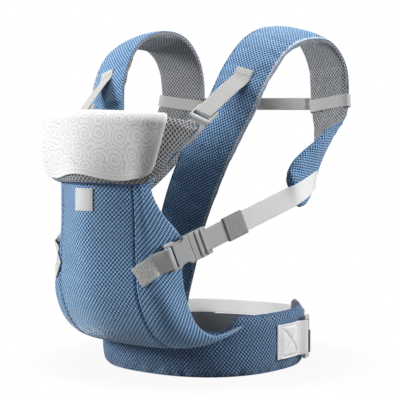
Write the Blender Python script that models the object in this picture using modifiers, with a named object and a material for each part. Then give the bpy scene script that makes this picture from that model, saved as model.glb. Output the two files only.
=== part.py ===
# Soft baby carrier for front carrying: waist belt, seat panel, head flap, bib, shoulder straps and buckles.
# Frame: +Z up, -Y is the front of the wearer, +X is the wearer's left. Z = 0 is the belt's lower edge.
import math

import bmesh
import bpy
import numpy as np
from mathutils import Matrix, Vector

MM = 0.001
GAP = 0.4 * MM

# Waist belt, measured on its inner face
BELT_HALF_WIDTH = 142 * MM
BELT_HALF_DEPTH = 138 * MM
BELT_SQUARENESS = 2.4
BELT_HEIGHT = 90 * MM
BELT_FOAM = 8.0 * MM
BELT_END_TURN = 150.0
BELT_TAPER_TURN = 112.0
BELT_END_RISE = 16 * MM
BELT_END_LIFT = 4 * MM
BELT_DIP = 22 * MM
BELT_DIP_TURNS = (24.0, 38.0, 48.0, 64.0)
BELT_RIGHT_DROP = 15 * MM
BELT_RIGHT_TURNS = (112.0, 128.0)

# Cloth layers
SKIN = 2.5 * MM
BELT_COLUMNS = 40
PAD_COLUMNS = 4
PANEL_COLUMNS = 18
EDGE_FOAM_SHARE = 0.4

# Shoulder straps
STRAP_WIDTH = 82 * MM
STRAP_FOAM = 9.0 * MM
STRAP_FOOT_TURN = 13.5
STRAP_FOOT_DEPTH = 32 * MM
STRAP_FOOT_WIDTH = 50 * MM
STRAP_FULL_ROW = 4.0
STRAP_END_ROUND = 0.36
STRAP_ROUTE = (
    # place in mm, then the outward direction of the strap's face
    ((43, -119, 165), (0.26, -0.96, 0.05)),
    ((61, -121, 239), (0.22, -0.97, 0.10)),
    ((94, -113, 326), (0.22, -0.95, 0.22)),
    ((126, -92, 403), (0.24, -0.86, 0.45)),
    ((140, -66, 460), (0.26, -0.72, 0.64)),
    ((147, -28, 501), (0.26, -0.42, 0.87)),
    ((150, 25, 519), (0.26, -0.02, 0.96)),
    ((152, 81, 513), (0.22, 0.46, 0.86)),
    ((154, 120, 474), (0.19, 0.90, 0.40)),
    ((155, 128, 417), (0.22, 0.97, 0.04)),
    ((163, 114, 369), (0.40, 0.91, -0.10)),
    ((171, 73, 330), (0.78, 0.60, -0.18)),
    ((176, 32, 299), (0.97, 0.15, -0.15)),
    ((179, -2, 276), (0.99, -0.06, -0.10)),
)

# Seat panel: rows from the belt seam up to the crest.
# Each row gives the middle, the seam, the side and the edge in mm.
PANEL_SEAM_HEIGHT = 47 * MM
PANEL_TAIL_LIFT = 33 * MM
PANEL_TAIL_TURN = 63.0
PANEL_ROWS = (
    ((0, -188, 56), (76, -174, 55), (116, -148, 58), (140, -114, 71)),
    ((0, -222, 70), (78, -202, 70), (113, -178, 68), (131, -142, 70)),
    ((0, -246, 94), (78, -224, 96), (110, -204, 93), (120, -164, 88)),
    ((0, -262, 132), (76, -240, 138), (107, -219, 130), (112, -177, 125)),
    ((0, -268, 185), (72, -241, 188), (97, -218, 178), (107, -181, 165)),
    ((0, -270, 230), (70, -240, 230), (89, -220, 222), (105, -178, 212)),
    ((0, -270, 268), (69, -240, 266), (81, -230, 261), (90, -208, 255)),
    ((0, -269, 300), (69, -242, 299), (78, -234, 296), (81, -220, 291)),
    ((0, -269, 334), (79, -246, 332), (92, -234, 327), (98, -214, 319)),
    ((0, -267, 362), (86, -247, 360), (105, -226, 355), (113, -197, 348)),
    ((0, -264, 386), (88, -246, 384), (115, -213, 381), (127, -173, 375)),
)

# Head flap and bib, folded outward over the crest
FLAP_FOAM = 5.0 * MM
FLAP_EDGE_ROW = 7.9
FLAP_EDGE_RISE = 1.1
FLAP_MARGIN = 0.10
FLAP_GAP = 0.97 * MM
FLAP_COLUMNS = 18
ROLL_ROWS = 4
FALL_ROWS = 5
BIB_THICKNESS = 1.6 * MM
BIB_COLUMNS = 10
BIB_EDGE_ROW = 8.22
BIB_WAVE = 0.09
BIB_FOLD = 1.6 * MM

# Label patch on the seat panel
LABEL_WIDTH = 30 * MM
LABEL_HEIGHT = 34 * MM
LABEL_THICKNESS = 1.2 * MM
LABEL_MIDDLE_HEIGHT = 272 * MM
LABEL_ROW = 7.15

# Webbing
WEB = 1.6 * MM
SIDE_WEB_WIDTH = 32 * MM
TOP_WEB_WIDTH = 30 * MM
CROSS_WEB_WIDTH = 20 * MM
WAIST_WEB_WIDTH = 36 * MM
BACK_BAND_WIDTH = 24 * MM

# Side release buckles: sizes along the pull, across it and through its thickness
BUCKLE_RIM = 5.0 * MM
FEMALE_LENGTH = 38 * MM
FEMALE_THICKNESS = 10 * MM
MALE_LENGTH = 32 * MM
MALE_THICKNESS = 8.0 * MM
MALE_SEAT = 4.9 * MM
CAVITY_HEIGHT = 6.0 * MM
CAVITY_WALL = 3.0 * MM
CAVITY_BACK = 12 * MM
PRONG_THICKNESS = 5.0 * MM
PRONG_PIVOT_SETBACK = 2.0 * MM
TONGUE_LENGTH = 17 * MM
TONGUE_WIDTH = 9.0 * MM
NOTCH_RADIUS = 10 * MM
NOTCH_DEPTH = 6.0 * MM
NOTCH_SHARE = 0.60
SLOT_LENGTH = 6.0 * MM
SIDE_TAB_LENGTH = 18 * MM
SIDE_LOOP_LENGTH = 66 * MM
KEEPER_START = 102 * MM
KEEPER_LENGTH = 34 * MM
KEEPER_WALL = 1.4 * MM
SIDE_TAB_PLACE = (1.06, 4.45)
SIDE_TAB_LEAVE = (1.85, 5.0)
SIDE_LINE_LIFT = 6.5 * MM
SIDE_FACE = (0.933, -0.359, 0.018)
SIDE_WEB_SEWN = ((13.6, -0.45), (14.3, -0.2), (15.0, 0.0))

# Top adjusters
ADJUSTER_LENGTH = 24 * MM
ADJUSTER_THICKNESS = 5.0 * MM
ADJUSTER_PLACE = 0.36
TOP_WEB_SEWN = (5.72, 6.0)
TOP_WEB_ACROSS = 0.0
TOP_EAR = (2.8, 10.2)
EAR_BOW = 2.6 * MM

# Cross strap between the shoulder straps at the back
CROSS_STATION = 11.1
CROSS_CLEARANCE = 3.2 * MM
CROSS_WALL = 1.6 * MM
SLIDER_LENGTH = 20 * MM
SLIDER_THICKNESS = 4.0 * MM
SLIDER_RIM = 4.0 * MM

# Waist closure at the left side
TAB_TURN_START = 87.0
RING_TURN = 110.0
TAB_WIDTH = 54 * MM
RING_BAR = 5.0 * MM
RING_LENGTH = 20 * MM
RING_RIM = 7.0 * MM
WAIST_WEB_SHIFT = -8 * MM
WAIST_CROSSING = (153.0, 206.0)
WAIST_WEB_TURNS = (120, 125, 132, 139, 147, 158, 170, 180, 190, 202, 214, 226, 238)
BACK_BAND_TURNS = (136, 142, 150, 160, 170, 180, 190, 200, 210, 220, 230, 240)
BACK_BAND_CLEARANCE = 1 * MM

# Cloth colours and plastics, with roughness
BLUE_MESH = ((0.145, 0.328, 0.630), 0.9)
GREY_MESH = ((0.560, 0.565, 0.585), 0.9)
FOAM = ((0.800, 0.790, 0.740), 0.95)
WHITE_COTTON = ((0.860, 0.860, 0.855), 0.9)
GREY_WEB = ((0.390, 0.390, 0.395), 0.85)
WHITE_WEB = ((0.740, 0.740, 0.745), 0.85)
DARK_WEB = ((0.085, 0.088, 0.095), 0.85)
GREY_PLASTIC = ((0.350, 0.355, 0.365), 0.45)


def clear_scene():
    for obj in list(bpy.data.objects):
        bpy.data.objects.remove(obj, do_unlink=True)


def collection(name):
    made = bpy.data.collections.new(name)
    bpy.context.scene.collection.children.link(made)
    return made


def material(name, finish):
    colour, roughness = finish
    made = bpy.data.materials.new(name)
    made.use_nodes = True
    shader = made.node_tree.nodes["Principled BSDF"]
    shader.inputs["Base Color"].default_value = (*colour, 1.0)
    shader.inputs["Roughness"].default_value = roughness
    shader.inputs["Metallic"].default_value = 0.0
    made.diffuse_color = (*colour, 1.0)
    return made


def mirror(point):
    return np.array((-point[0], point[1], point[2]))


def unit(v):
    return v / np.linalg.norm(v)


def spline(rows, t):
    # Catmull-Rom curve through the rows, read at t, which counts rows
    last = len(rows) - 1
    i = int(min(max(math.floor(t), 0), last - 1))
    f = t - i
    b = rows[i]
    c = rows[i + 1]
    a = rows[i - 1] if i > 0 else 2 * b - c
    d = rows[i + 2] if i + 2 <= last else 2 * c - b
    bend = 2 * a - 5 * b + 4 * c - d
    twist = 3 * b - a - 3 * c + d
    return 0.5 * (2 * b + (c - a) * f + bend * f**2 + twist * f**3)


def power(value, exponent):
    return math.copysign(abs(value) ** exponent, value)


def smooth(x):
    x = min(max(x, 0.0), 1.0)
    return x * x * (3 - 2 * x)


# Waist belt surface
BELT_CENTRE_THICKNESS = 2 * SKIN + BELT_FOAM + 2 * GAP


def belt_point(turn, height, out):
    # turn runs from the front in degrees, positive to the wearer's left
    # out is measured from the inner face
    angle = math.radians(turn)
    share = 2 / BELT_SQUARENESS
    x = BELT_HALF_WIDTH * power(math.sin(angle), share)
    y = -BELT_HALF_DEPTH * power(math.cos(angle), share)
    nx = power(x / BELT_HALF_WIDTH, BELT_SQUARENESS - 1) / BELT_HALF_WIDTH
    ny = power(y / BELT_HALF_DEPTH, BELT_SQUARENESS - 1) / BELT_HALF_DEPTH
    normal = unit(np.array((nx, ny, 0.0)))
    return np.array((x, y, height)) + normal * out, normal


def belt_span(turn):
    # lower and upper edge of the belt, which dips under each leg opening and is lower at its right end
    late = max(0.0, abs(turn) - BELT_TAPER_TURN) / (BELT_END_TURN - BELT_TAPER_TURN)
    down, low, end, up = BELT_DIP_TURNS
    dip = smooth((abs(turn) - down) / (low - down)) - smooth((abs(turn) - end) / (up - end))
    start, stop = BELT_RIGHT_TURNS
    drop = BELT_RIGHT_DROP * smooth((-turn - start) / (stop - start))
    return BELT_END_RISE * late**2, BELT_HEIGHT + BELT_END_LIFT * late**2 - BELT_DIP * dip - drop


def crown(v):
    # foam thickness across a pad, full in the middle and drawn in at its edges
    return 1 - (1 - EDGE_FOAM_SHARE) * abs(v) ** 2.5


# Shoulder strap surface
STRAP_CENTRE_THICKNESS = 2 * SKIN + STRAP_FOAM + 2 * GAP


def strap_rows():
    # the foot of the strap lies flat on the inner face of the belt
    half = STRAP_FOOT_WIDTH / 2
    rise = half**2 / (2 * min(BELT_HALF_WIDTH, BELT_HALF_DEPTH)) + GAP
    inward = -(rise + STRAP_CENTRE_THICKNESS / 2)
    rows = []
    for height in (BELT_HEIGHT - STRAP_FOOT_DEPTH, BELT_HEIGHT + STRAP_FOOT_DEPTH / 2):
        place, normal = belt_point(STRAP_FOOT_TURN, height, inward)
        rows.append(np.concatenate((place, normal)))
    for place, normal in STRAP_ROUTE:
        rows.append(np.concatenate((np.array(place) * MM, unit(np.array(normal)))))
    return rows


STRAP_ROWS = strap_rows()
STRAP_LAST = len(STRAP_ROWS) - 1


def strap_frame(t):
    step = 0.02
    row = spline(STRAP_ROWS, t)
    ahead = spline(STRAP_ROWS, min(t + step, STRAP_LAST))[:3]
    behind = spline(STRAP_ROWS, max(t - step, 0))[:3]
    along = unit(ahead - behind)
    across = unit(np.cross(along, row[3:]))
    normal = np.cross(across, along)
    return row[:3], along, across, normal


def strap_half_width(t):
    # narrow at the belt, and rounded over the last row at the free end
    grow = min(1.0, t / STRAP_FULL_ROW)
    width = STRAP_FOOT_WIDTH + (STRAP_WIDTH - STRAP_FOOT_WIDTH) * grow**2 * (3 - 2 * grow)
    late = max(0.0, t - (STRAP_LAST - 1))
    return width / 2 * (1 - STRAP_END_ROUND * late**2.5)


def strap_point(t, v, out):
    # v runs from the inner edge (-1) to the outer edge (1), and out is measured from the middle of the pad
    place, _, across, normal = strap_frame(t)
    return place + across * v * strap_half_width(t) + normal * out


def strap_skin_height(v):
    # outer face of the strap above its middle
    return STRAP_FOAM * crown(v) + 2 * SKIN + 2 * GAP - STRAP_CENTRE_THICKNESS / 2


# Seat panel surface
def panel_rows():
    rows = []
    seam = []
    clear = BELT_CENTRE_THICKNESS + 2 * GAP
    for share in (0.0, 1 / 3, 2 / 3, 1.0):
        turn = PANEL_TAIL_TURN * share
        seam.append(belt_point(turn, PANEL_SEAM_HEIGHT + PANEL_TAIL_LIFT * share**2, clear)[0])
    rows.append(np.array(seam))
    for row in PANEL_ROWS:
        rows.append(np.array(row) * MM)
    return rows


PANEL_GRID = panel_rows()
PANEL_TOP = len(PANEL_GRID) - 1
PANEL_SEAM = 1.0
PANEL_EDGE = 3.0
PANEL_THICKNESS = 2 * SKIN + GAP


def panel_base(c, h):
    # c runs from the middle (0) over the seam (1) to the edge (3), negative on the wearer's right
    across = []
    for row in PANEL_GRID:
        half = [mirror(row[1]), row[0], row[1], row[2], row[3]]
        across.append(spline(half, abs(c) + 1))
    place = spline(across, h)
    return mirror(place) if c < 0 else place


def panel_normal(c, h):
    step = 0.03
    side = panel_base(min(c + step, PANEL_EDGE), h) - panel_base(max(c - step, -PANEL_EDGE), h)
    rise = panel_base(c, min(h + step, PANEL_TOP)) - panel_base(c, max(h - step, 0))
    return unit(np.cross(side, rise))


def panel_point(c, h, out):
    return panel_base(c, h) + panel_normal(c, h) * out


def crest_point(c, drop, out):
    # drop from 0 to 1 goes over the crest in a quarter roll, and past 1 it goes down the front by panel rows
    if drop >= 1:
        return panel_point(c, PANEL_TOP - (drop - 1), out)
    step = 0.03
    top = panel_base(c, PANEL_TOP)
    up = unit(top - panel_base(c, PANEL_TOP - step))
    normal = panel_normal(c, PANEL_TOP)
    middle = PANEL_THICKNESS / 2
    angle = math.pi / 2 * (1 - drop)
    reach = out - middle
    return top + normal * (middle + reach * math.cos(angle)) + up * reach * math.sin(angle)


# Mesh builders
def link(obj, group, finish, parent=None):
    group.objects.link(obj)
    obj.data.materials.append(finish)
    if parent is not None:
        obj.parent = parent
    return obj


def sheet(name, place, columns, rows, thickness, finish, mirrored=0):
    # a closed slab whose two faces are grids laid out by place(u, v, out), with u and v from -1 to 1
    bm = bmesh.new()
    inner, outer = (
        [
            [bm.verts.new(place(2 * i / columns - 1, 2 * j / rows - 1, out)) for i in range(columns + 1)]
            for j in range(rows + 1)
        ]
        for out in (0.0, thickness)
    )
    for j in range(rows):
        for i in range(columns):
            corners = ((j, i), (j, i + 1), (j + 1, i + 1), (j + 1, i))
            # the first mirrored columns are cut along the other diagonal
            cut = ((0, 1, 3), (1, 2, 3)) if i < mirrored else ((0, 1, 2), (0, 2, 3))
            for a, b, c in cut:
                bm.faces.new([outer[y][x] for y, x in (corners[a], corners[b], corners[c])])
                bm.faces.new([inner[y][x] for y, x in (corners[c], corners[b], corners[a])])
    rim = [(0, i) for i in range(columns)] + [(j, columns) for j in range(rows)]
    rim += [(rows, i) for i in range(columns, 0, -1)] + [(j, 0) for j in range(rows, 0, -1)]
    for (y0, x0), (y1, x1) in zip(rim, rim[1:] + rim[:1]):
        bm.faces.new((inner[y0][x0], inner[y1][x1], outer[y1][x1], outer[y0][x0]))
    mesh = bpy.data.meshes.new(name)
    bm.to_mesh(mesh)
    bm.free()
    return link(bpy.data.objects.new(name, mesh), PARTS, finish)


def pair(name, place, columns, rows, thickness, finish):
    # the same sheet for the wearer's left and, mirrored, for the right
    sheet(name + "_left", place, columns, rows, thickness, finish)
    def far(u, v, out):
        return mirror(place(-u, v, out))

    sheet(name + "_right", far, columns, rows, thickness, finish, columns)


def band(points, normals, width):
    # a flat webbing through the points, as a place function whose v runs along it
    rows = [np.concatenate((p, unit(np.array(n)))) for p, n in zip(points, normals)]
    last = len(rows) - 1

    def place(u, v, out):
        t = (v + 1) / 2 * last
        step = 0.02
        row = spline(rows, t)
        along = unit(spline(rows, min(t + step, last))[:3] - spline(rows, max(t - step, 0))[:3])
        across = unit(np.cross(along, row[3:]))
        return row[:3] + across * u * width / 2 + np.cross(across, along) * out

    return place


def frame_empty(name, origin, along, normal):
    # an empty whose X runs along the pull and whose Z leaves the face
    x = unit(np.array(along))
    z = unit(np.array(normal) - x * np.dot(normal, x))
    y = np.cross(z, x)
    empty = bpy.data.objects.new(name, None)
    PARTS.objects.link(empty)
    matrix = Matrix((x, y, z)).transposed().to_4x4()
    matrix.translation = Vector(origin)
    empty.matrix_world = matrix
    return empty


def block(name, low, high, finish, parent, group, bevel=0.0):
    # a box from its lowest to its highest corner, in the parent's frame
    low = Vector(low)
    high = Vector(high)
    bm = bmesh.new()
    bmesh.ops.create_cube(bm, size=1.0)
    bmesh.ops.scale(bm, vec=high - low, verts=bm.verts)
    mesh = bpy.data.meshes.new(name)
    bm.to_mesh(mesh)
    bm.free()
    obj = bpy.data.objects.new(name, mesh)
    link(obj, group, finish, parent)
    obj.location = (low + high) / 2
    if bevel:
        edge = obj.modifiers.new("edges", "BEVEL")
        edge.width = bevel
        edge.segments = 2
    return obj


def rod(name, middle, radius, length, finish, parent, group, sides=24):
    # a round bar along the parent's Z
    bm = bmesh.new()
    bmesh.ops.create_cone(bm, cap_ends=True, segments=sides, radius1=radius, radius2=radius, depth=length)
    mesh = bpy.data.meshes.new(name)
    bm.to_mesh(mesh)
    bm.free()
    obj = bpy.data.objects.new(name, mesh)
    link(obj, group, finish, parent)
    obj.location = middle
    return obj


def carve(obj, tool, operation="DIFFERENCE"):
    tool.hide_render = True
    tool.display_type = "WIRE"
    change = obj.modifiers.new(operation.lower(), "BOOLEAN")
    change.operation = operation
    change.object = tool
    change.solver = "EXACT"


def outline(name, points, thickness, finish, parent, group):
    # a flat outline in the parent's XY plane, extruded both ways
    curve = bpy.data.curves.new(name, "CURVE")
    curve.dimensions = "2D"
    curve.fill_mode = "BOTH"
    curve.extrude = thickness / 2
    line = curve.splines.new("POLY")
    line.points.add(len(points) - 1)
    for point, (x, y) in zip(line.points, points):
        point.co = (x, y, 0.0, 1.0)
    line.use_cyclic_u = True
    obj = bpy.data.objects.new(name, curve)
    return link(obj, group, finish, parent)


def make_belt():
    def layer(depth):
        def place(u, v, out):
            turn = u * BELT_END_TURN
            low, high = belt_span(turn)
            height = low + (high - low) * (v + 1) / 2
            return belt_point(turn, height, depth(v, out))[0]

        return place

    foam = SKIN + GAP
    lining = layer(lambda v, out: out)
    padding = layer(lambda v, out: foam + out * crown(v))
    cover = layer(lambda v, out: foam + BELT_FOAM * crown(v) + GAP + out)
    sheet("belt_lining", lining, BELT_COLUMNS, PAD_COLUMNS, SKIN, FINISH["grey_mesh"])
    sheet("belt_foam", padding, BELT_COLUMNS, PAD_COLUMNS, BELT_FOAM, FINISH["foam"])
    sheet("belt_cover", cover, BELT_COLUMNS, PAD_COLUMNS, SKIN, FINISH["blue_mesh"])


def make_straps():
    bottom = -STRAP_CENTRE_THICKNESS / 2
    foam = bottom + SKIN + GAP

    def layer(depth):
        return lambda u, v, out: strap_point((v + 1) / 2 * STRAP_LAST, u, depth(u, out))

    lining = layer(lambda u, out: bottom + out)
    padding = layer(lambda u, out: foam + out * crown(u))
    cover = layer(lambda u, out: foam + STRAP_FOAM * crown(u) + GAP + out)
    pair("strap_lining", lining, PAD_COLUMNS, 2 * STRAP_LAST, SKIN, FINISH["grey_mesh"])
    pair("strap_foam", padding, PAD_COLUMNS, 2 * STRAP_LAST, STRAP_FOAM, FINISH["foam"])
    pair("strap_cover", cover, PAD_COLUMNS, 2 * STRAP_LAST, SKIN, FINISH["blue_mesh"])


def make_panel():
    seam_gap = 0.006
    outer = SKIN + GAP
    rows = 2 * PANEL_TOP

    def patch(c0, c1, base):
        def place(u, v, out):
            c = c0 + (c1 - c0) * (u + 1) / 2
            return panel_point(c, (v + 1) / 2 * PANEL_TOP, base + out)

        return place

    columns = PANEL_COLUMNS // 3
    lining = patch(-PANEL_EDGE, PANEL_EDGE, 0.0)
    sheet("panel_lining", lining, PANEL_COLUMNS, rows, SKIN, FINISH["grey_mesh"], PANEL_COLUMNS // 2)
    middle = patch(-PANEL_SEAM + seam_gap, PANEL_SEAM - seam_gap, outer)
    sheet("panel_middle", middle, columns, rows, SKIN, FINISH["blue_mesh"], columns // 2)
    pair("panel_wing", patch(PANEL_SEAM, PANEL_EDGE, outer), columns, rows, SKIN, FINISH["blue_mesh"])
    front = panel_point(0.0, LABEL_ROW, PANEL_THICKNESS)[1] - GAP
    half = LABEL_WIDTH / 2
    low = (-half, front - LABEL_THICKNESS, LABEL_MIDDLE_HEIGHT - LABEL_HEIGHT / 2)
    high = (half, front, LABEL_MIDDLE_HEIGHT + LABEL_HEIGHT / 2)
    block("panel_label", low, high, FINISH["grey_web"], None, PARTS)


def fall_row(v, bottom):
    # the first rows turn over the crest, and the others go down to the lower edge
    row = round((1 - v) / 2 * (ROLL_ROWS + FALL_ROWS))
    if row <= ROLL_ROWS:
        return row / ROLL_ROWS
    return 1 + bottom * (row - ROLL_ROWS) / FALL_ROWS


def make_head_flap():
    span = PANEL_EDGE - FLAP_MARGIN
    half = FLAP_COLUMNS // 2
    rows = ROLL_ROWS + FALL_ROWS

    def layer(base):
        def place(u, v, out):
            bottom = PANEL_TOP - FLAP_EDGE_ROW - FLAP_EDGE_RISE * abs(u) ** 3
            return crest_point(u * span, fall_row(v, bottom), base + out)

        return place

    cover = PANEL_THICKNESS + FLAP_GAP
    foam = cover + SKIN + 2 * GAP
    lining = foam + FLAP_FOAM + 2 * GAP
    sheet("head_flap_cover", layer(cover), FLAP_COLUMNS, rows, SKIN, FINISH["blue_mesh"], half)
    sheet("head_flap_foam", layer(foam), FLAP_COLUMNS, rows, FLAP_FOAM, FINISH["foam"], half)
    sheet("head_flap_lining", layer(lining), FLAP_COLUMNS, rows, SKIN, FINISH["grey_mesh"], half)
    bib_base = lining + SKIN + FLAP_GAP
    bib_span = span * BIB_COLUMNS / FLAP_COLUMNS

    def bib(u, v, out):
        wave = math.cos(2.5 * math.pi * u)
        bottom = PANEL_TOP - BIB_EDGE_ROW - BIB_WAVE * wave - 0.12 * abs(u) ** 6
        low = max(0.0, (1 - v) / 2 - 0.45)
        lift = bib_base + BIB_FOLD * (1 + wave) * low
        return crest_point(u * bib_span, fall_row(v, bottom), lift + out)

    sheet("bib", bib, BIB_COLUMNS, rows, BIB_THICKNESS, FINISH["white_cotton"], BIB_COLUMNS // 2)


class SideLine:
    # the taut line from the seat panel's tab to the end of the shoulder strap
    def __init__(self):
        c, h = SIDE_TAB_LEAVE
        face = WEB / 2 + 2 * GAP
        self.start = panel_point(c, h, PANEL_THICKNESS + SIDE_LINE_LIFT)
        self.end = strap_point(STRAP_LAST, 0.0, strap_skin_height(0.0) + face)
        self.along = unit(self.end - self.start)
        self.length = np.linalg.norm(self.end - self.start)
        normal = np.array(SIDE_FACE)
        self.normal = unit(normal - self.along * np.dot(normal, self.along))
        self.origin = self.start + self.along * SIDE_TAB_LENGTH

    def at(self, x, out):
        # x counts from the front of the buckle
        return self.origin + self.along * x + self.normal * out


BUCKLE_WIDTH = SIDE_WEB_WIDTH + 2 * BUCKLE_RIM
MALE_START = FEMALE_LENGTH + GAP
MALE_END = MALE_START + MALE_LENGTH


def make_female(name, parent):
    half = BUCKLE_WIDTH / 2
    deep = FEMALE_THICKNESS / 2
    finish = FINISH["grey_plastic"]
    body = block(name, (0, -half, -deep), (FEMALE_LENGTH, half, deep), finish, parent, PARTS, 1.6 * MM)
    cavity = half - CAVITY_WALL
    high = CAVITY_HEIGHT / 2
    end = FEMALE_LENGTH + 2 * MM
    low, far = (CAVITY_BACK, -cavity, -high), (end, cavity, high)
    carve(body, block(name + "_cavity", low, far, finish, parent, CUTTERS))
    web = SIDE_WEB_WIDTH / 2 + 2 * GAP
    slot = (BUCKLE_RIM - 1 * MM, BUCKLE_RIM - 1 * MM + SLOT_LENGTH)
    carve(body, block(name + "_slot", (slot[0], -web, -0.02), (slot[1], web, 0.02), finish, parent, CUTTERS))
    for side, word in ((1, "upper"), (-1, "lower")):
        middle = (FEMALE_LENGTH * NOTCH_SHARE, side * (half + NOTCH_RADIUS - NOTCH_DEPTH), 0)
        notch = rod(f"{name}_{word}_notch", middle, NOTCH_RADIUS, 0.04, finish, parent, CUTTERS)
        carve(body, notch)


def make_male(name, parent):
    half = BUCKLE_WIDTH / 2
    deep = MALE_THICKNESS / 2
    finish = FINISH["grey_plastic"]
    start = MALE_START
    body = block(name, (start, -half, -deep), (MALE_END, half, deep), finish, parent, PARTS, 1.4 * MM)
    web = SIDE_WEB_WIDTH / 2 + GAP
    bar = (MALE_LENGTH - 2 * SLOT_LENGTH) / 4
    first = start + 2 * bar
    second = first + SLOT_LENGTH + bar
    for word, x in (("front", first), ("rear", second)):
        low = (x, -web, -0.02)
        carve(body, block(f"{name}_{word}_slot", low, (x + SLOT_LENGTH, web, 0.02), finish, parent, CUTTERS))
    low = (start - TONGUE_LENGTH, -TONGUE_WIDTH / 2, -CAVITY_HEIGHT / 2 + 0.6 * MM)
    high = (start + 1.5 * MM, TONGUE_WIDTH / 2, CAVITY_HEIGHT / 2 - 0.6 * MM)
    carve(body, block(name + "_tongue", low, high, finish, parent, CUTTERS), "UNION")
    top = deep + 0.01
    low = (start + 2.4 * bar, -web, -deep + MALE_SEAT)
    carve(body, block(name + "_web_seat", low, (MALE_END + 0.01, web, top), finish, parent, CUTTERS))


PRONG_REACH = FEMALE_LENGTH - CAVITY_BACK - 4.5 * MM


def make_prong(name, side, parent):
    # an arm whose round root turns in front of the male half
    outer = BUCKLE_WIDTH / 2 - CAVITY_WALL - 0.6 * MM
    root = 2.1 * MM
    pivot = outer - 4.4 * MM
    head = outer - pivot
    tip = -PRONG_REACH
    points = (
        (root, -1.2 * MM),
        (root, 1.2 * MM),
        (1.0 * MM, 2.2 * MM),
        (tip * 0.28, 2.5 * MM),
        (tip * 0.38, head),
        (tip * 0.84, head),
        (tip, 1.5 * MM),
        (tip, -0.5 * MM),
        (tip * 0.8, -1.8 * MM),
        (tip * 0.28, -2.0 * MM),
        (1.0 * MM, -2.2 * MM),
    )
    points = [(x, side * y) for x, y in points]
    arm = outline(name, points, PRONG_THICKNESS, FINISH["grey_plastic"], parent, PARTS)
    arm.location = (FEMALE_LENGTH - PRONG_PIVOT_SETBACK, side * pivot, 0)


def make_side_pull(word, flip):
    line = SideLine()

    def turn(v):
        return mirror(v) if flip else v

    buckle = frame_empty(f"side_buckle_axis_{word}", turn(line.origin), turn(line.along), turn(line.normal))
    make_female(f"side_buckle_female_{word}", buckle)
    make_male(f"side_buckle_male_{word}", buckle)
    up = -1 if flip else 1
    make_prong(f"side_prong_upper_{word}", up, buckle)
    make_prong(f"side_prong_lower_{word}", -up, buckle)

    def strip(name, points, normals, width, finish, rows):
        place = band(points, normals, width)
        if flip:
            sheet(name, lambda u, v, out: mirror(place(-u, v, out)), 1, rows, WEB, finish)
        else:
            sheet(name, place, 1, rows, WEB, finish)

    # the tab lies on the panel, climbs over the female's front bar and dips into its slot
    over = FEMALE_THICKNESS / 2 + GAP
    laid = PANEL_THICKNESS + 3 * GAP
    places = [np.array(SIDE_TAB_PLACE) * (1 - s) + np.array(SIDE_TAB_LEAVE) * s for s in (0.0, 0.5, 0.9)]
    points = [panel_point(c, h, laid) for c, h in places]
    normals = [panel_normal(c, h) for c, h in places]
    points += [line.at(-2 * MM, over), line.at(2.5 * MM, over)]
    normals += [line.normal, line.normal]
    points += [line.at(BUCKLE_RIM, over - 0.8 * MM), line.at(BUCKLE_RIM + 0.8 * MM, 1 * MM)]
    normals += [line.normal + line.along, line.along]
    strip(f"side_tab_{word}", points, normals, SIDE_WEB_WIDTH, FINISH["grey_web"], 24)

    # grey webbing over the male half's bars, sewn on top of the white webbing
    seat = -MALE_THICKNESS / 2 + MALE_SEAT + GAP
    start = MALE_START + MALE_LENGTH * 0.34
    ends = (start, start + SIDE_LOOP_LENGTH)
    points = [line.at(x, seat) for x in ends]
    strip(f"side_loop_{word}", points, [line.normal] * 2, SIDE_WEB_WIDTH, FINISH["grey_web"], 4)

    # white webbing under it, on to the strap's outer face
    low = seat - WEB - GAP
    reach = line.length - SIDE_TAB_LENGTH - MALE_END
    points = [line.at(MALE_END + GAP + reach * s, low) for s in (0, 0.3, 0.6, 0.86)]
    normals = [line.normal] * 4
    for t, v in SIDE_WEB_SEWN[::-1]:
        points.append(strip_seat(t, v))
        normals.append(strap_frame(t)[3])
    strip(f"side_webbing_{word}", points, normals, SIDE_WEB_WIDTH, FINISH["white_web"], 22)

    # keeper sleeve round both webbings
    wide = SIDE_WEB_WIDTH / 2 + 2 * GAP
    low_face = low - 2 * GAP
    high_face = seat + WEB + 2 * GAP
    x0 = KEEPER_START
    x1 = x0 + KEEPER_LENGTH
    wall = KEEPER_WALL
    sleeve = block(
        f"side_keeper_{word}",
        (x0, -wide - wall, low_face - wall),
        (x1, wide + wall, high_face + wall),
        FINISH["grey_web"],
        buckle,
        PARTS,
        0.6 * MM,
    )
    bore = block(
        f"side_keeper_bore_{word}",
        (x0 - 0.01, -wide, low_face),
        (x1 + 0.01, wide, high_face),
        FINISH["grey_web"],
        buckle,
        CUTTERS,
    )
    carve(sleeve, bore)


def strip_seat(t, v):
    return strap_point(t, v, strap_skin_height(0.0) + 2 * GAP)


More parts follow.
